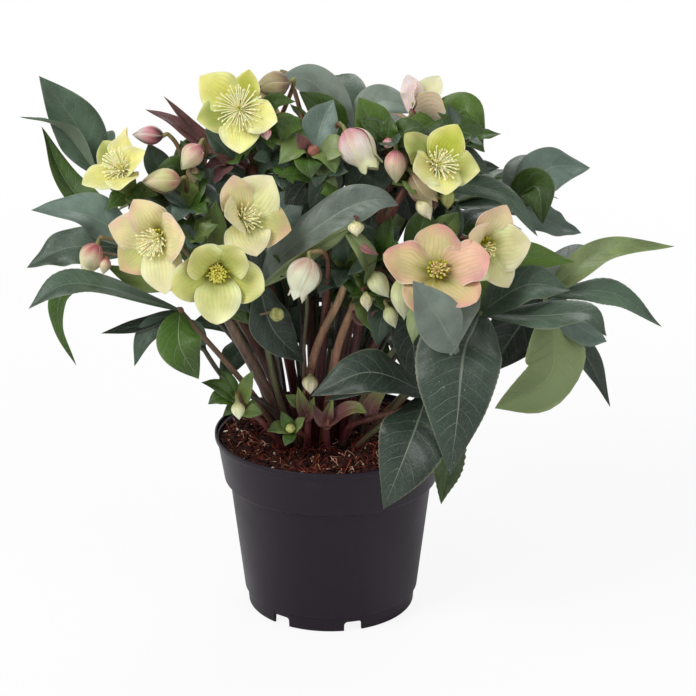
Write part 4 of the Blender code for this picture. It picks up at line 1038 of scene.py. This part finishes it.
def stem_look():
    look = Look("stem_skin", Roughness=0.42, Specular_IOR_Level=0.4)
    tint = look.tint()
    streak = look.node("Mapping", {"Vector": look.place, "Scale": (260.0, 260.0, 30.0)}).outputs[0]
    grain = look.noise(1.0, place=streak)
    freckles = look.step(look.noise(420.0, 2.0), 0.56, 0.68)
    freckle = look.mix(1.0, tint, (0.75, 0.35, 0.4), "MULTIPLY")
    colour = look.clouded(tint, grain, 0.3, 0.7, 0.72, 1.3)
    colour = look.mix(look.times(freckles, 0.45), colour, freckle)
    look.set(Base_Color=colour, Roughness=look.step(grain, 0.2, 0.8, 0.34, 0.55))
    return look.bump(grain, 0.0004, 0.6)


def stamen_look():
    look = Look("stamen_skin", Roughness=0.55, Subsurface_Weight=0.2, Subsurface_Scale=0.001)
    grain = look.noise(900.0, 2.0)
    look.set(Base_Color=look.clouded(look.tint(), grain, 0.3, 0.7, 0.85, 1.08))
    return look.bump(grain, 0.0002, 0.5)


def pot_look():
    look = Look("pot_plastic", Specular_IOR_Level=0.24)
    cloud = look.noise(14.0, 4.0, 0.6)
    scuffs = look.times(look.step(look.noise(90.0, 5.0, 0.7), 0.6, 0.72), look.step(cloud, 0.45, 0.65))
    dust = look.step(look.cells(230.0, "F1"), 0.08, 0.03)
    dust = look.times(dust, look.step(look.noise(31.0, 1.0), 0.56, 0.66))
    colour = look.mix(cloud, (0.0104, 0.0056, 0.0118), (0.0148, 0.0084, 0.0166))
    colour = look.mix(look.times(scuffs, 0.25), colour, (0.045, 0.036, 0.042))
    colour = look.mix(look.times(dust, 0.5), colour, (0.12, 0.1, 0.085))
    rough = look.step(cloud, 0.3, 0.7, 0.36, 0.46)
    look.set(Base_Color=colour, Roughness=look.times_plus(scuffs, 0.15, rough))
    return look.bump(look.noise(700.0, 2.0), 0.00012, 0.5)


def mix_look():
    look = Look("potting_mix_grain", Roughness=0.9, Specular_IOR_Level=0.2)
    grain = look.noise(260.0, 6.0, 0.7)
    colour = look.mix(look.step(grain, 0.38, 0.66), (0.006, 0.003, 0.003), (0.1, 0.03, 0.016))
    colour = look.mix(look.step(look.noise(500.0, 2.0), 0.62, 0.72), colour, (0.3, 0.11, 0.055))
    look.set(Base_Color=look.mix(1.0, colour, look.tint(), "MULTIPLY"))
    return look.bump(look.times_plus(grain, 1.0, look.cells(330.0, "F1")), 0.0025, 1.0)


def crumb_look():
    look = Look("crumb_grain", Roughness=0.85, Specular_IOR_Level=0.25)
    grain = look.noise(600.0, 4.0, 0.6)
    look.set(Base_Color=look.clouded(look.tint(), grain, 0.3, 0.7, 0.55, 1.35))
    return look.bump(grain, 0.0005, 0.8)


# Plant -------------------------------------------------------------------------------------------


def root_of(angle, distance):
    """The foot of a stalk inside the potting mix."""
    turn = math.radians(angle)
    x, y, surface = CROWN
    return np.array((x + distance * math.cos(turn), y + distance * math.sin(turn), surface - ROOT_DEPTH))


def leaf_paint(look, tone):
    base, tip = LEAF_TINTS[look]

    def paint(t, u, s):
        # One half is painted 7% lighter and the other 7% darker: painted light and shade on the two sides of the
        # midrib.
        return blend(base, tip, spread(0.35, 1.0, t)) * tone * (1 + 0.07 * np.sign(u))[..., None]

    return paint


def add_leaflet(piece, hub, look, width, face, points, start=None, tone=None, widest=0.85, steps=40,
                span=12, **shape):
    """A leaflet or a bract. Where the table gives no tone, it is drawn at random."""
    hub = hub if start is None else np.array(start, float)
    foot = hub + unit(hub - np.asarray(points[0], float)) * LEAFLET_FOOT
    tone = piece.random.uniform(0.88, 1.12) if tone is None else tone
    drawn = {"phase": piece.random.random(), "waves": piece.random.uniform(2, 3.5)}
    shape = {"sway": 0.09, "quilt": 0.05} | drawn | shape
    paint, outline = leaf_paint(look, tone), leaf_outline(widest)
    blade(piece, [foot, *points], width, face, paint, steps, span, outline, **shape)


def make_leaf(name, points, own, leaflets, material):
    piece = Piece("leaf_" + name + "_skin")
    bow, hub = np.array(points, float)
    low, high = STALK_TINTS[own.get("look", "petiole")]
    share = np.linspace(0, 1, 41)
    stalk = smooth_curve([root_of(*own["root"]), bow, hub], 40)
    tube(piece, stalk, 0.28 - 0.08 * share, blend(low, high, spread(0.1, 0.8, share)), rough=0.05)
    rise = unit(hub - bow) * 0.3
    knee = [hub - rise, hub - rise * 0.4, hub + rise * 0.3, hub + rise]
    tube(piece, knee, (0.2, 0.3, 0.3, 0.1), high, rough=0.05)
    for (look, width, face, *points), shape in leaflets:
        add_leaflet(piece, hub, look, width, face, points, **shape)
    piece.build(material, "leaf", "leaf_" + name)


def make_inner_leaves(material):
    """The lower leaves that fill the middle of the plant, each with a stalk and a fan of leaflets."""
    piece = Piece("inner_leaves")
    flowers = np.array([at for (_, at, _), _, _ in FLOWERS.values()])
    low, high = STALK_TINTS["dark_petiole"]
    share = np.linspace(0, 1, 25)
    for x, y, z, *root in INNER_LEAVES:
        hub, foot = np.array((x, y, z), float), root_of(*root)
        outward = unit((hub - foot) * (1, 1, 0.35))
        path = smooth_curve([foot, foot + (hub - foot) * (0.3, 0.3, 0.55), hub], 24)
        tube(piece, path, 0.2 - 0.06 * share, blend(low, high, share), 8)
        aside = unit(np.cross(outward, UP))
        for turned in INNER_FAN:
            turn = math.radians(turned + piece.random.uniform(-12, 12))
            way = unit(spoke(turn, outward, aside) + UP * piece.random.uniform(-0.3, 0.5))
            size = piece.random.uniform(4.5, 6.5)
            tip = hub + way * size - UP * 0.8
            if min(np.linalg.norm(flowers - tip, axis=1)) < INNER_CLEAR:
                continue
            look = INNER_LOOKS[piece.random.integers(len(INNER_LOOKS))]
            points, face = [hub + way * size * 0.5 + UP * 0.5, tip], UP + (0, -0.5, 0)
            add_leaflet(piece, hub, look, size * 0.42, face, points, steps=24, span=10, tone=0.8)
    piece.build(material, "leaf")


def frame_of(at, facing):
    """The place of a flower, the way it faces, and the directions to its right and to its top."""
    facing = unit(facing)
    right = unit(np.cross(UP, facing))
    return np.array(at, float), facing, right, np.cross(facing, right)


def sepal_paint(look, phase):
    """Greenest at the base, and flushed unevenly towards the rim."""
    base, body, rim, back = SEPAL_TINTS[look]

    def paint(t, u, s):
        uneven = 0.14 * np.abs(u) + 0.05 * np.sin(9 * u + 6 * phase)
        outer = np.maximum(spread(0.3, 1.0, np.abs(u)) * spread(0.1, 0.6, t), spread(0.6, 1.0, t))
        side = 0.75 + 0.35 * np.sin(2 * math.pi * phase + 2.2 * u)
        tint = blend(base, body, spread(0.02, 0.55, t + uneven))
        tint = blend(tint, rim, np.clip(0.9 * side * outer, 0, 1))
        return blend(tint, blend(back, rim, 0.3 * outer), (s < 0) * 0.85)

    return paint


def make_flower(name, look, at, facing, own, sepals, material):
    at, facing, right, above = frame_of(at, facing)
    piece = Piece("flower_" + name + "_skin")
    lift = math.radians(own["lift"])
    outline = sepal_outline(own.get("blunt", 1.75), own.get("sharp", 0.88))
    green, base = STALK_TINTS["pedicel"][1], SEPAL_TINTS[look][0]
    path = [at - facing * FLOWER_BACK, at - facing * 0.1, at + facing * 0.1, at + facing * 0.28]
    tube(piece, path, (0.2, 0.36, 0.42, 0.3), [green, green, base, base])
    for k, ((tint, turned, raised, share, wide, order), special) in enumerate(sepals):
        out = spoke(math.radians(own["roll"] + 360 / SEPALS * k + turned), right, above)
        tilt = lift + math.radians(raised + 1.5 * order + piece.random.uniform(-1.5, 1.5))
        seat = at + facing * (0.05 * order)
        size = own["length"] * share
        middle = seat + spoke(1.12 * tilt, out, facing) * size * 0.52
        tip = seat + spoke(0.92 * tilt, out, facing) * size
        face = special.get("face", facing - out * math.sin(tilt))
        phase, twist = piece.random.random(), piece.random.uniform(-5, 5)
        drawn = {"phase": phase, "twist": twist, "skew": piece.random.uniform(-0.08, 0.08)}
        shape = SEPAL_SHAPE | {"cup": SEPAL_CUP * math.tan(lift)} | drawn
        shape |= {key: value for key, value in special.items() if key != "face"}
        width = size * own["width"] * wide * piece.random.uniform(0.95, 1.06)
        points = [seat + out * 0.15, middle, tip]
        blade(piece, points, width, face, sepal_paint(tint, phase), 26, 16, outline, **shape)
    piece.build(material, "sepal", "flower_" + name)


def make_stamens(name, at, facing, own, material):
    """The middle of the flower, its ring of nectaries, its stamens and its styles."""
    at, facing, right, above = frame_of(at, facing)
    piece = Piece("stamens_" + name + "_skin")
    pick = piece.random
    count, low, high, length, *lean = own["stamens"]
    cup = own.get("nectaries", 1.0)
    foot = at + facing * FLOWER_FOOT

    def ray(turn, tilt):
        return spoke(tilt, facing, spoke(turn, right, above))

    tube(piece, [foot, foot + facing * 0.15, foot + facing * 0.3], (0.38, 0.34, 0.15), STAMEN_TINTS["eye"])
    body, lip = STAMEN_TINTS["nectary"]
    for k in range(NECTARIES):
        turn = 2 * math.pi * (k + pick.uniform(-0.3, 0.3)) / NECTARIES
        mouth = cup * pick.uniform(0.58, 0.84)
        bend, top = foot + ray(turn, 1.15) * 0.5 * cup, foot + ray(turn, 0.98) * mouth
        path = smooth_curve([foot + ray(turn, 1.5) * 0.33, bend, top], 4)
        tube(piece, path, (0.05, 0.08, 0.11, 0.13, 0.1), [body] * 4 + [lip], 8)
    filament, anther_tint = STAMEN_TINTS[own.get("pollen", "cream")]
    for k in range(count):
        turn = GOLDEN_ANGLE * k
        tilt = math.radians(low + (high - low) * math.sqrt((k + 0.5) / count) + pick.uniform(-5, 5))
        reach = length * pick.uniform(0.82, 1.08)
        base = foot + facing * 0.12 + ray(turn, 1.57) * 0.26 * (k + 0.5) / count
        tip = foot + ray(turn, tilt) * reach + (right * lean[0] + above * lean[1]) * reach * 0.4
        middle = (base + tip) / 2 + facing * reach * pick.uniform(0.05, 0.16)
        path = smooth_curve([base, middle, tip], 5)
        tube(piece, path, np.linspace(0.044, 0.034, 6), filament, 5)
        end = unit(unit(path[-1] - path[-2]) + unit(pick.uniform(-1, 1, 3)) * 0.6)
        anther = [tip + end * step for step in (-0.08, -0.02, 0.07, 0.14)]
        tube(piece, anther, (0.04, 0.072, 0.068, 0.03), anther_tint * pick.uniform(0.85, 1.1), 6)
    green, stigma = STAMEN_TINTS["style"]
    for k in range(STYLES):
        turn = 2 * math.pi * k / STYLES + 0.4
        path = [foot + facing * 0.2, foot + ray(turn, 0.2) * 0.65, foot + ray(turn, 0.22) * length * 0.72]
        tints = blend(green, stigma, np.linspace(0, 1, 7) ** 3)
        tube(piece, smooth_curve(path, 6), (0.07, 0.1, 0.1, 0.07, 0.045, 0.04, 0.03), tints, 7)
    piece.build(material, "stamen", "stamens_" + name)


def add_bud(piece, base, points_to, length, radius, look, opened=0.0):
    """Five sepals wrapped round each other, each with one rim tucked under the next."""
    base = np.asarray(base, float)
    along = unit(points_to)
    side, over = sides_of(along)
    foot, body, tip, _ = SEPAL_TINTS[look]
    t = np.linspace(0, 1, 19)
    fullness = np.sin(math.pi * (0.03 + 0.97 * t) ** 0.78) ** 0.84
    fullness = np.maximum(fullness, opened * spread(0.1, 0.7, t))[:, None]
    lobe = np.sqrt(1 - 0.97 * np.clip((t - 0.6) / 0.4, 0, 1) ** 2)[:, None] if opened else 1.0
    u = np.linspace(-1, 1, 13)
    inside = np.concatenate([np.zeros(13), np.ones(11)])
    T, U = np.meshgrid(t, np.concatenate([u, u[-2:0:-1]]), indexing="ij")
    edge = np.abs(U)
    forms = np.stack([(U + 1) / 2, T * 0.5, np.zeros(T.shape), np.full(T.shape, length / 10)], -1)
    lean = piece.random.uniform(0.25, 0.5)
    for k in range(SEPALS):
        half_angle = 0.95 * lobe * (1 + 0.1 * (k % 2))
        angle = 2 * math.pi * k / SEPALS + half_angle * U + lean * T
        flare = 1 + opened * 0.16 * (k % 3) * spread(0.3, 1, T)
        reach = radius * fullness * flare * (1 + 0.09 * U - 0.02 * U**2)
        reach = np.maximum(reach - 0.03 * inside * (fullness > 0.2), 0.012)
        height = length * T * (1 - 0.04 * U**2 * T - 0.04 * (k % 3))
        ray = side * np.cos(angle)[..., None] + over * np.sin(angle)[..., None]
        ring = base + along * height[..., None] + ray * reach[..., None]
        tint = blend(foot, body, spread(0.0, 0.5, T + 0.08 * np.sin(5 * U + k)))
        tint = blend(tint, tip, np.clip(spread(0.4, 1.0, T) + 0.5 * spread(0.6, 1, edge), 0, 1) * 0.85)
        # Painted shade: 30% darker on the rim tucked under the next sepal, and 12% darker in a thin line down the
        # middle of each sepal.
        painted_shade = 1 - 0.3 * spread(-0.5, -1.0, U) - 0.12 * (1 - spread(0.0, 0.12, edge))
        piece.skin(ring[:, ::-1], (tint * painted_shade[..., None])[:, ::-1], forms[:, ::-1])
    cap = [base - along * 0.12, base, base + along * 0.12]
    tube(piece, cap, (0.16, 0.22, 0.12 + 0.1 * radius), blend(foot, STALK_TINTS["pedicel"][1], 0.6), 10)


def end_of_branch(target):
    """Where a branch meets the back of what it carries, and the way that back looks."""
    kind, name = target.split("_", 1)
    if kind == "flower":
        _, at, facing = FLOWERS[name][0]
        return np.array(at) - unit(facing) * FLOWER_BACK, unit(facing)
    base, points_to = BUDS[name][0][:2]
    return np.array(base, float), unit(points_to)


def stem_point(trunk, end):
    """The point of a trunk that a small side shoot to end leaves from."""
    lower = trunk[trunk[:, 2] < end[2] - 0.3]
    lower = lower if len(lower) else trunk[:1]
    return lower[np.argmin(np.linalg.norm(lower - end, axis=1))]


def add_tuft(piece, at, way, count, length, width, looks):
    """A rosette of small bracts round the top of a shoot."""
    way = unit(way)
    side, over = sides_of(way)
    at = np.asarray(at, float)
    shape = {"widest": 0.75, "fold": 0.28, "wave": 0.12, "steps": 16, "span": 8}
    for k in range(count):
        out = spoke(GOLDEN_ANGLE * k + piece.random.uniform(-0.4, 0.4), side, over)
        ray = spoke(math.radians(TUFT_TILT * piece.random.uniform(0.6, 1.25)), way, out)
        size = length * piece.random.uniform(0.7, 1.15)
        tip = at + ray * size + out * size * 0.12
        middle = at + (ray * 0.95 + way * 0.12) * size * 0.55
        wide = width * piece.random.uniform(0.8, 1.15)
        add_leaflet(piece, at, looks[k % len(looks)], wide, way - out * 0.5, [middle, tip], **shape)


def make_stem(name, points, own, rows, material, leaf_material, *nodes):
    piece = Piece(name + "_skin")
    trunk = smooth_curve([root_of(*own["root"]), *points], TRUNK_STEPS)
    low, high = STALK_TINTS[own["look"]]
    green = STALK_TINTS["pedicel"][1]

    def of_kind(kind):
        return [(words, settings) for (first, *words), settings in rows if first == kind]

    share = np.linspace(0, 1, TRUNK_STEPS + 1)
    thick, thin = own["radius"]
    swell, extent = KNOT
    radii = thick + (thin - thick) * share
    for (at, *_), _ in of_kind("branch") + of_kind("bract"):
        radii = radii + swell * np.exp(-(((share - min(at, 0.99)) / extent) ** 2))
    tube(piece, trunk, radii, blend(low, high, spread(0.1, 0.95, share)), 16, 0.04)
    for (at, target, *via), _ in of_kind("branch"):
        end, facing = end_of_branch(target)
        reach = 1.5 if target.startswith("flower") else 0.5
        path = smooth_curve([trunk[round(at * TRUNK_STEPS)], *via, end - facing * reach, end], 24)
        steps = np.linspace(0, 1, 25)
        radii = 0.2 - 0.05 * steps + 0.04 * spread(0.85, 1, steps)
        tube(piece, path, radii, blend(high, green, spread(0.2, 1.0, steps)), 12, 0.04)
    for (base, points_to, *rest), _ in of_kind("bud"):
        end = np.array(base, float)
        path = smooth_curve([stem_point(trunk, end), end - unit(points_to) * 0.4, end], 10)
        tube(piece, path, 0.1, high, 8)
        add_bud(piece, base, points_to, *rest)
    piece.build(material, "stem", *nodes)
    bracts = Piece(name + "_bracts")
    for (at, look, width, face, *points), shape in of_kind("bract"):
        shape = {"steps": 24, "span": 10} | shape
        add_leaflet(bracts, trunk[round(at * TRUNK_STEPS)], look, width, face, points, **shape)
    for tuft, _ in of_kind("tuft"):
        add_tuft(bracts, *tuft)
    bracts.build(leaf_material, "leaf")


# Pot and potting mix -----------------------------------------------------------------------------


def rounded(profile, radius):
    """The profile with its corners turned into small arcs."""
    made = [profile[0]]
    for points in zip(profile, profile[1:], profile[2:]):
        before, corner, after = np.array(points, float)
        first, last = before - corner, after - corner
        start = corner + first * min(radius / np.linalg.norm(first), 0.45)
        end = corner + last * min(radius / np.linalg.norm(last), 0.45)
        for t in (0, 0.25, 0.5, 0.75, 1):
            made.append(tuple((1 - t) ** 2 * start + 2 * t * (1 - t) * corner + t**2 * end))
    return [*made, profile[-1]]


def notch_columns():
    """Angles round the pot, closer at the gaps in the foot ring, and the height of the gap at each."""
    width, height = POT_NOTCH
    half = math.degrees(math.asin(width / 2 / POT_FOOT_RADIUS))
    corner = POT_NOTCH_CORNER
    columns = [(angle, 0.0) for angle in np.linspace(0, 360, POT_SIDES, endpoint=False)]
    for centre in POT_NOTCH_ANGLES:
        columns = [column for column in columns if abs((column[0] - centre + 180) % 360 - 180) > half + 0.3]
        for depth in (-0.01, 0.0, 0.03, 0.1, 0.2, 0.3, 0.5, width / 2):
            rise = height if depth >= 0 else 0.0
            if 0 <= depth < corner:
                rise = height - corner + math.sqrt(max(corner**2 - (corner - depth) ** 2, 0))
            turn = half * (1 - depth / (width / 2))
            columns += [(centre + side * turn, rise) for side in ((-1, 1) if turn > 0.001 else (1,))]
    return sorted(columns, key=lambda column: column[0] % 360)


def make_pot(material):
    inner_floor = POT_FLOOR + POT_WALL
    inside = [(radius - POT_WALL, z) for radius, z in reversed(POT_OUTSIDE) if z > POT_FLOOR + 1]
    under = [(0, 0), (POT_PAD_RADIUS, 0), (POT_PAD_RADIUS, POT_FLOOR), (POT_FOOT_INSIDE, POT_FLOOR)]
    floor = [(POT_FLOOR_RADIUS, inner_floor), (0, inner_floor)]
    profile = rounded([*under, (POT_FOOT_INSIDE, 0), *POT_OUTSIDE, *inside, *floor], POT_CORNER)
    angles, rise = np.array(notch_columns()).T
    turns = np.radians(angles)
    rings = []
    for radius, height in profile[1:-1]:
        heights = np.maximum(height, rise) if radius > POT_NOTCH_FROM else np.full(len(turns), height)
        rings.append(np.stack([radius * np.cos(turns), radius * np.sin(turns), heights], -1))
    piece = Piece("pot_shell")
    piece.skin(rings, (1, 1, 1), (0, 0, 0, 0))
    piece.build(material, "pot", "pot")


def mix_height(x, y):
    """The surface of the potting mix: a low mound with lumps."""
    radius = math.hypot(x, y)
    base = float(np.interp(radius, *MIX_MOUND))
    lumps = sum(height * noise.noise((x * close, y * close, z)) for height, close, z in MIX_LUMPS)
    return base + lumps * min(1.0, (MIX_LEVEL_FROM - radius) * 2)


def make_mix(material, crumb_material):
    piece = Piece("potting_mix_surface")
    turns = 2 * math.pi * np.arange(MIX_SIDES) / MIX_SIDES
    lowest = POT_FLOOR + POT_WALL + MIX_GAP
    wall = [(radius - POT_WALL - MIX_GAP, z) for radius, z in POT_OUTSIDE if POT_FLOOR + 1 < z < MIX_EDGE]
    wall = [(MIX_FOOT_RADIUS, lowest), *wall]
    rings = [[(radius * math.cos(a), radius * math.sin(a), z) for a in turns] for radius, z in wall]
    for radius in np.linspace(MIX_RADIUS, 0.15, MIX_RINGS):
        ring = [(radius * math.cos(a), radius * math.sin(a)) for a in turns]
        rings.append([(x, y, mix_height(x, y)) for x, y in ring])
    piece.skin(rings, (1, 1, 1), (0, 0, 0, 0))
    piece.build(material, "potting_mix", "potting_mix")
    crumbs = Piece("potting_mix_crumbs")
    for (count, tint, length, radius, bent), _, _ in CRUMBS.values():
        for _ in range(count):
            add_crumb(crumbs, rgb(*tint), length, radius, bent)
    crumbs.build(crumb_material, "potting_mix")


def add_crumb(piece, tint, length, radius, bent):
    """A bent fibre or a rough lump, left out where it would reach into the wall of the pot."""
    pick = piece.random
    middle_radius, end_radius = CRUMB_SPREAD
    distance = middle_radius * math.sqrt(pick.random())
    turn, heading = pick.uniform(0, 2 * math.pi), pick.uniform(0, 2 * math.pi)
    x, y = distance * math.cos(turn), distance * math.sin(turn)
    size = length * pick.uniform(0.5, 1.3)
    thick = radius * pick.uniform(0.6, 1.3)
    way = np.array((math.cos(heading), math.sin(heading), pick.uniform(-0.35, 0.35)))
    middle = np.array((x, y, mix_height(x, y) + thick * 0.6 + bent * size * pick.uniform(0.0, 0.5)))
    aside = np.array((-way[1], way[0], 0.2)) * bent * size * pick.uniform(-0.5, 0.5)
    path = np.array([middle - way * size / 2, middle + aside, middle + way * size / 2])
    for end in (path[0], path[2]):
        end[2] = max(mix_height(*end[:2]), MIX_EDGE - 0.4) + thick * 0.4
    if max(np.hypot(path[:, 0], path[:, 1])) > end_radius:
        return
    path = smooth_curve(path, 6 if bent else 3)
    radii = thick * np.sin(np.linspace(0.35, math.pi - 0.35, len(path))) ** 0.5
    tube(piece, path, radii, tint * pick.uniform(0.6, 1.4), 5 if bent else 6, 0.0 if bent else 0.35)


# Stage -------------------------------------------------------------------------------------------


def make_world():
    """White to the camera, and dimmer as a light."""
    world = bpy.data.worlds.new("studio")
    bpy.context.scene.world = world
    world.use_nodes = True
    tree = world.node_tree
    rays = add_node(tree, "ShaderNodeLightPath").outputs
    seen = {0: rays["Is Camera Ray"], 1: rays["Is Transmission Ray"]}
    seen = add_node(tree, "ShaderNodeMath", seen, operation="MAXIMUM").outputs[0]
    strength = add_node(tree, "ShaderNodeMapRange", {"Value": seen, "To Min": WORLD_LIGHT, "To Max": 1.0})
    background = tree.nodes["Background"]
    background.inputs["Color"].default_value = (1, 1, 1, 1)
    tree.links.new(strength.outputs[0], background.inputs["Strength"])


def floor_look():
    """Paper that glows to the camera, and turns as white as the world away from the pot."""
    look = Look("floor_paper", Base_Color=(FLOOR_WHITE, FLOOR_WHITE, FLOOR_WHITE, 1), Roughness=0.9)
    away = look.node("VectorMath", {0: look.place}, operation="LENGTH").outputs["Value"]
    white = look.step(away, *FLOOR_FADE, FLOOR_GLOW, 1.0)
    share = look.times(look.node("LightPath").outputs["Is Camera Ray"], white)
    shaders = {0: share, 1: look.shader.outputs[0], 2: look.node("Emission").outputs[0]}
    shown = look.node("MixShader", shaders).outputs[0]
    look.tree.links.new(shown, look.tree.nodes["Material Output"].inputs["Surface"])
    return look.material


def make_stage():
    make_world()
    mesh = bpy.data.meshes.new("floor")
    corners = [(x * FLOOR_HALF, y * FLOOR_HALF, 0) for x, y in ((-1, -1), (1, -1), (1, 1), (-1, 1))]
    mesh.from_pydata(corners, [], [(0, 1, 2, 3)])
    mesh.materials.append(floor_look())
    floor = add_object("floor", mesh)
    floor.location.z = -FLOOR_DROP
    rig.stage(floor)
    for name, (place, size, power) in LAMPS.items():
        light = bpy.data.lights.new(name, "AREA")
        light.shape = "RECTANGLE"
        light.size, light.size_y = size
        light.energy = power
        lamp = add_object(name, light)
        lamp.location = place
        lamp.rotation_euler = (Vector(LAMPS_AIM) - Vector(place)).to_track_quat("-Z", "Y").to_euler()
    camera = bpy.data.cameras.new("camera")
    camera.lens = CAMERA_LENS
    camera.sensor_width = CAMERA_SENSOR
    seat = add_object("camera", camera)
    seat.location = CAMERA_PLACE
    seat.rotation_euler = (math.radians(90 - CAMERA_PITCH), 0, math.radians(-CAMERA_YAW))
    bpy.context.scene.camera = seat
    bpy.context.scene.view_settings.view_transform = "Standard"


def main():
    make_stage()
    leaf, sepal, stem, stamen = leaf_look(), sepal_look(), stem_look(), stamen_look()
    make_pot(pot_look())
    make_mix(mix_look(), crumb_look())
    for name, entry in LEAVES.items():
        make_leaf(name, *entry, leaf)
    for name, entry in STEMS.items():
        make_stem("flower_stem_" + name, *entry, stem, leaf, "flower_stem_" + name)
    for name, entry in SHOOTS.items():
        make_stem("shoot_" + name, *entry, stem, leaf)
    make_inner_leaves(leaf)
    for name, ((look, at, facing), own, sepals) in FLOWERS.items():
        make_flower(name, look, at, facing, own, sepals, sepal)
        make_stamens(name, at, facing, own, stamen)
    for name, (bud, _, _) in BUDS.items():
        piece = Piece("bud_" + name + "_skin")
        add_bud(piece, *bud)
        piece.build(sepal, "bud", "bud_" + name)


main()
with open("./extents.json", "w") as file:
    json.dump({"cad": [list(corner) for corner in cad_box], "visual": [list(corner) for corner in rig.bounds()]}, file)
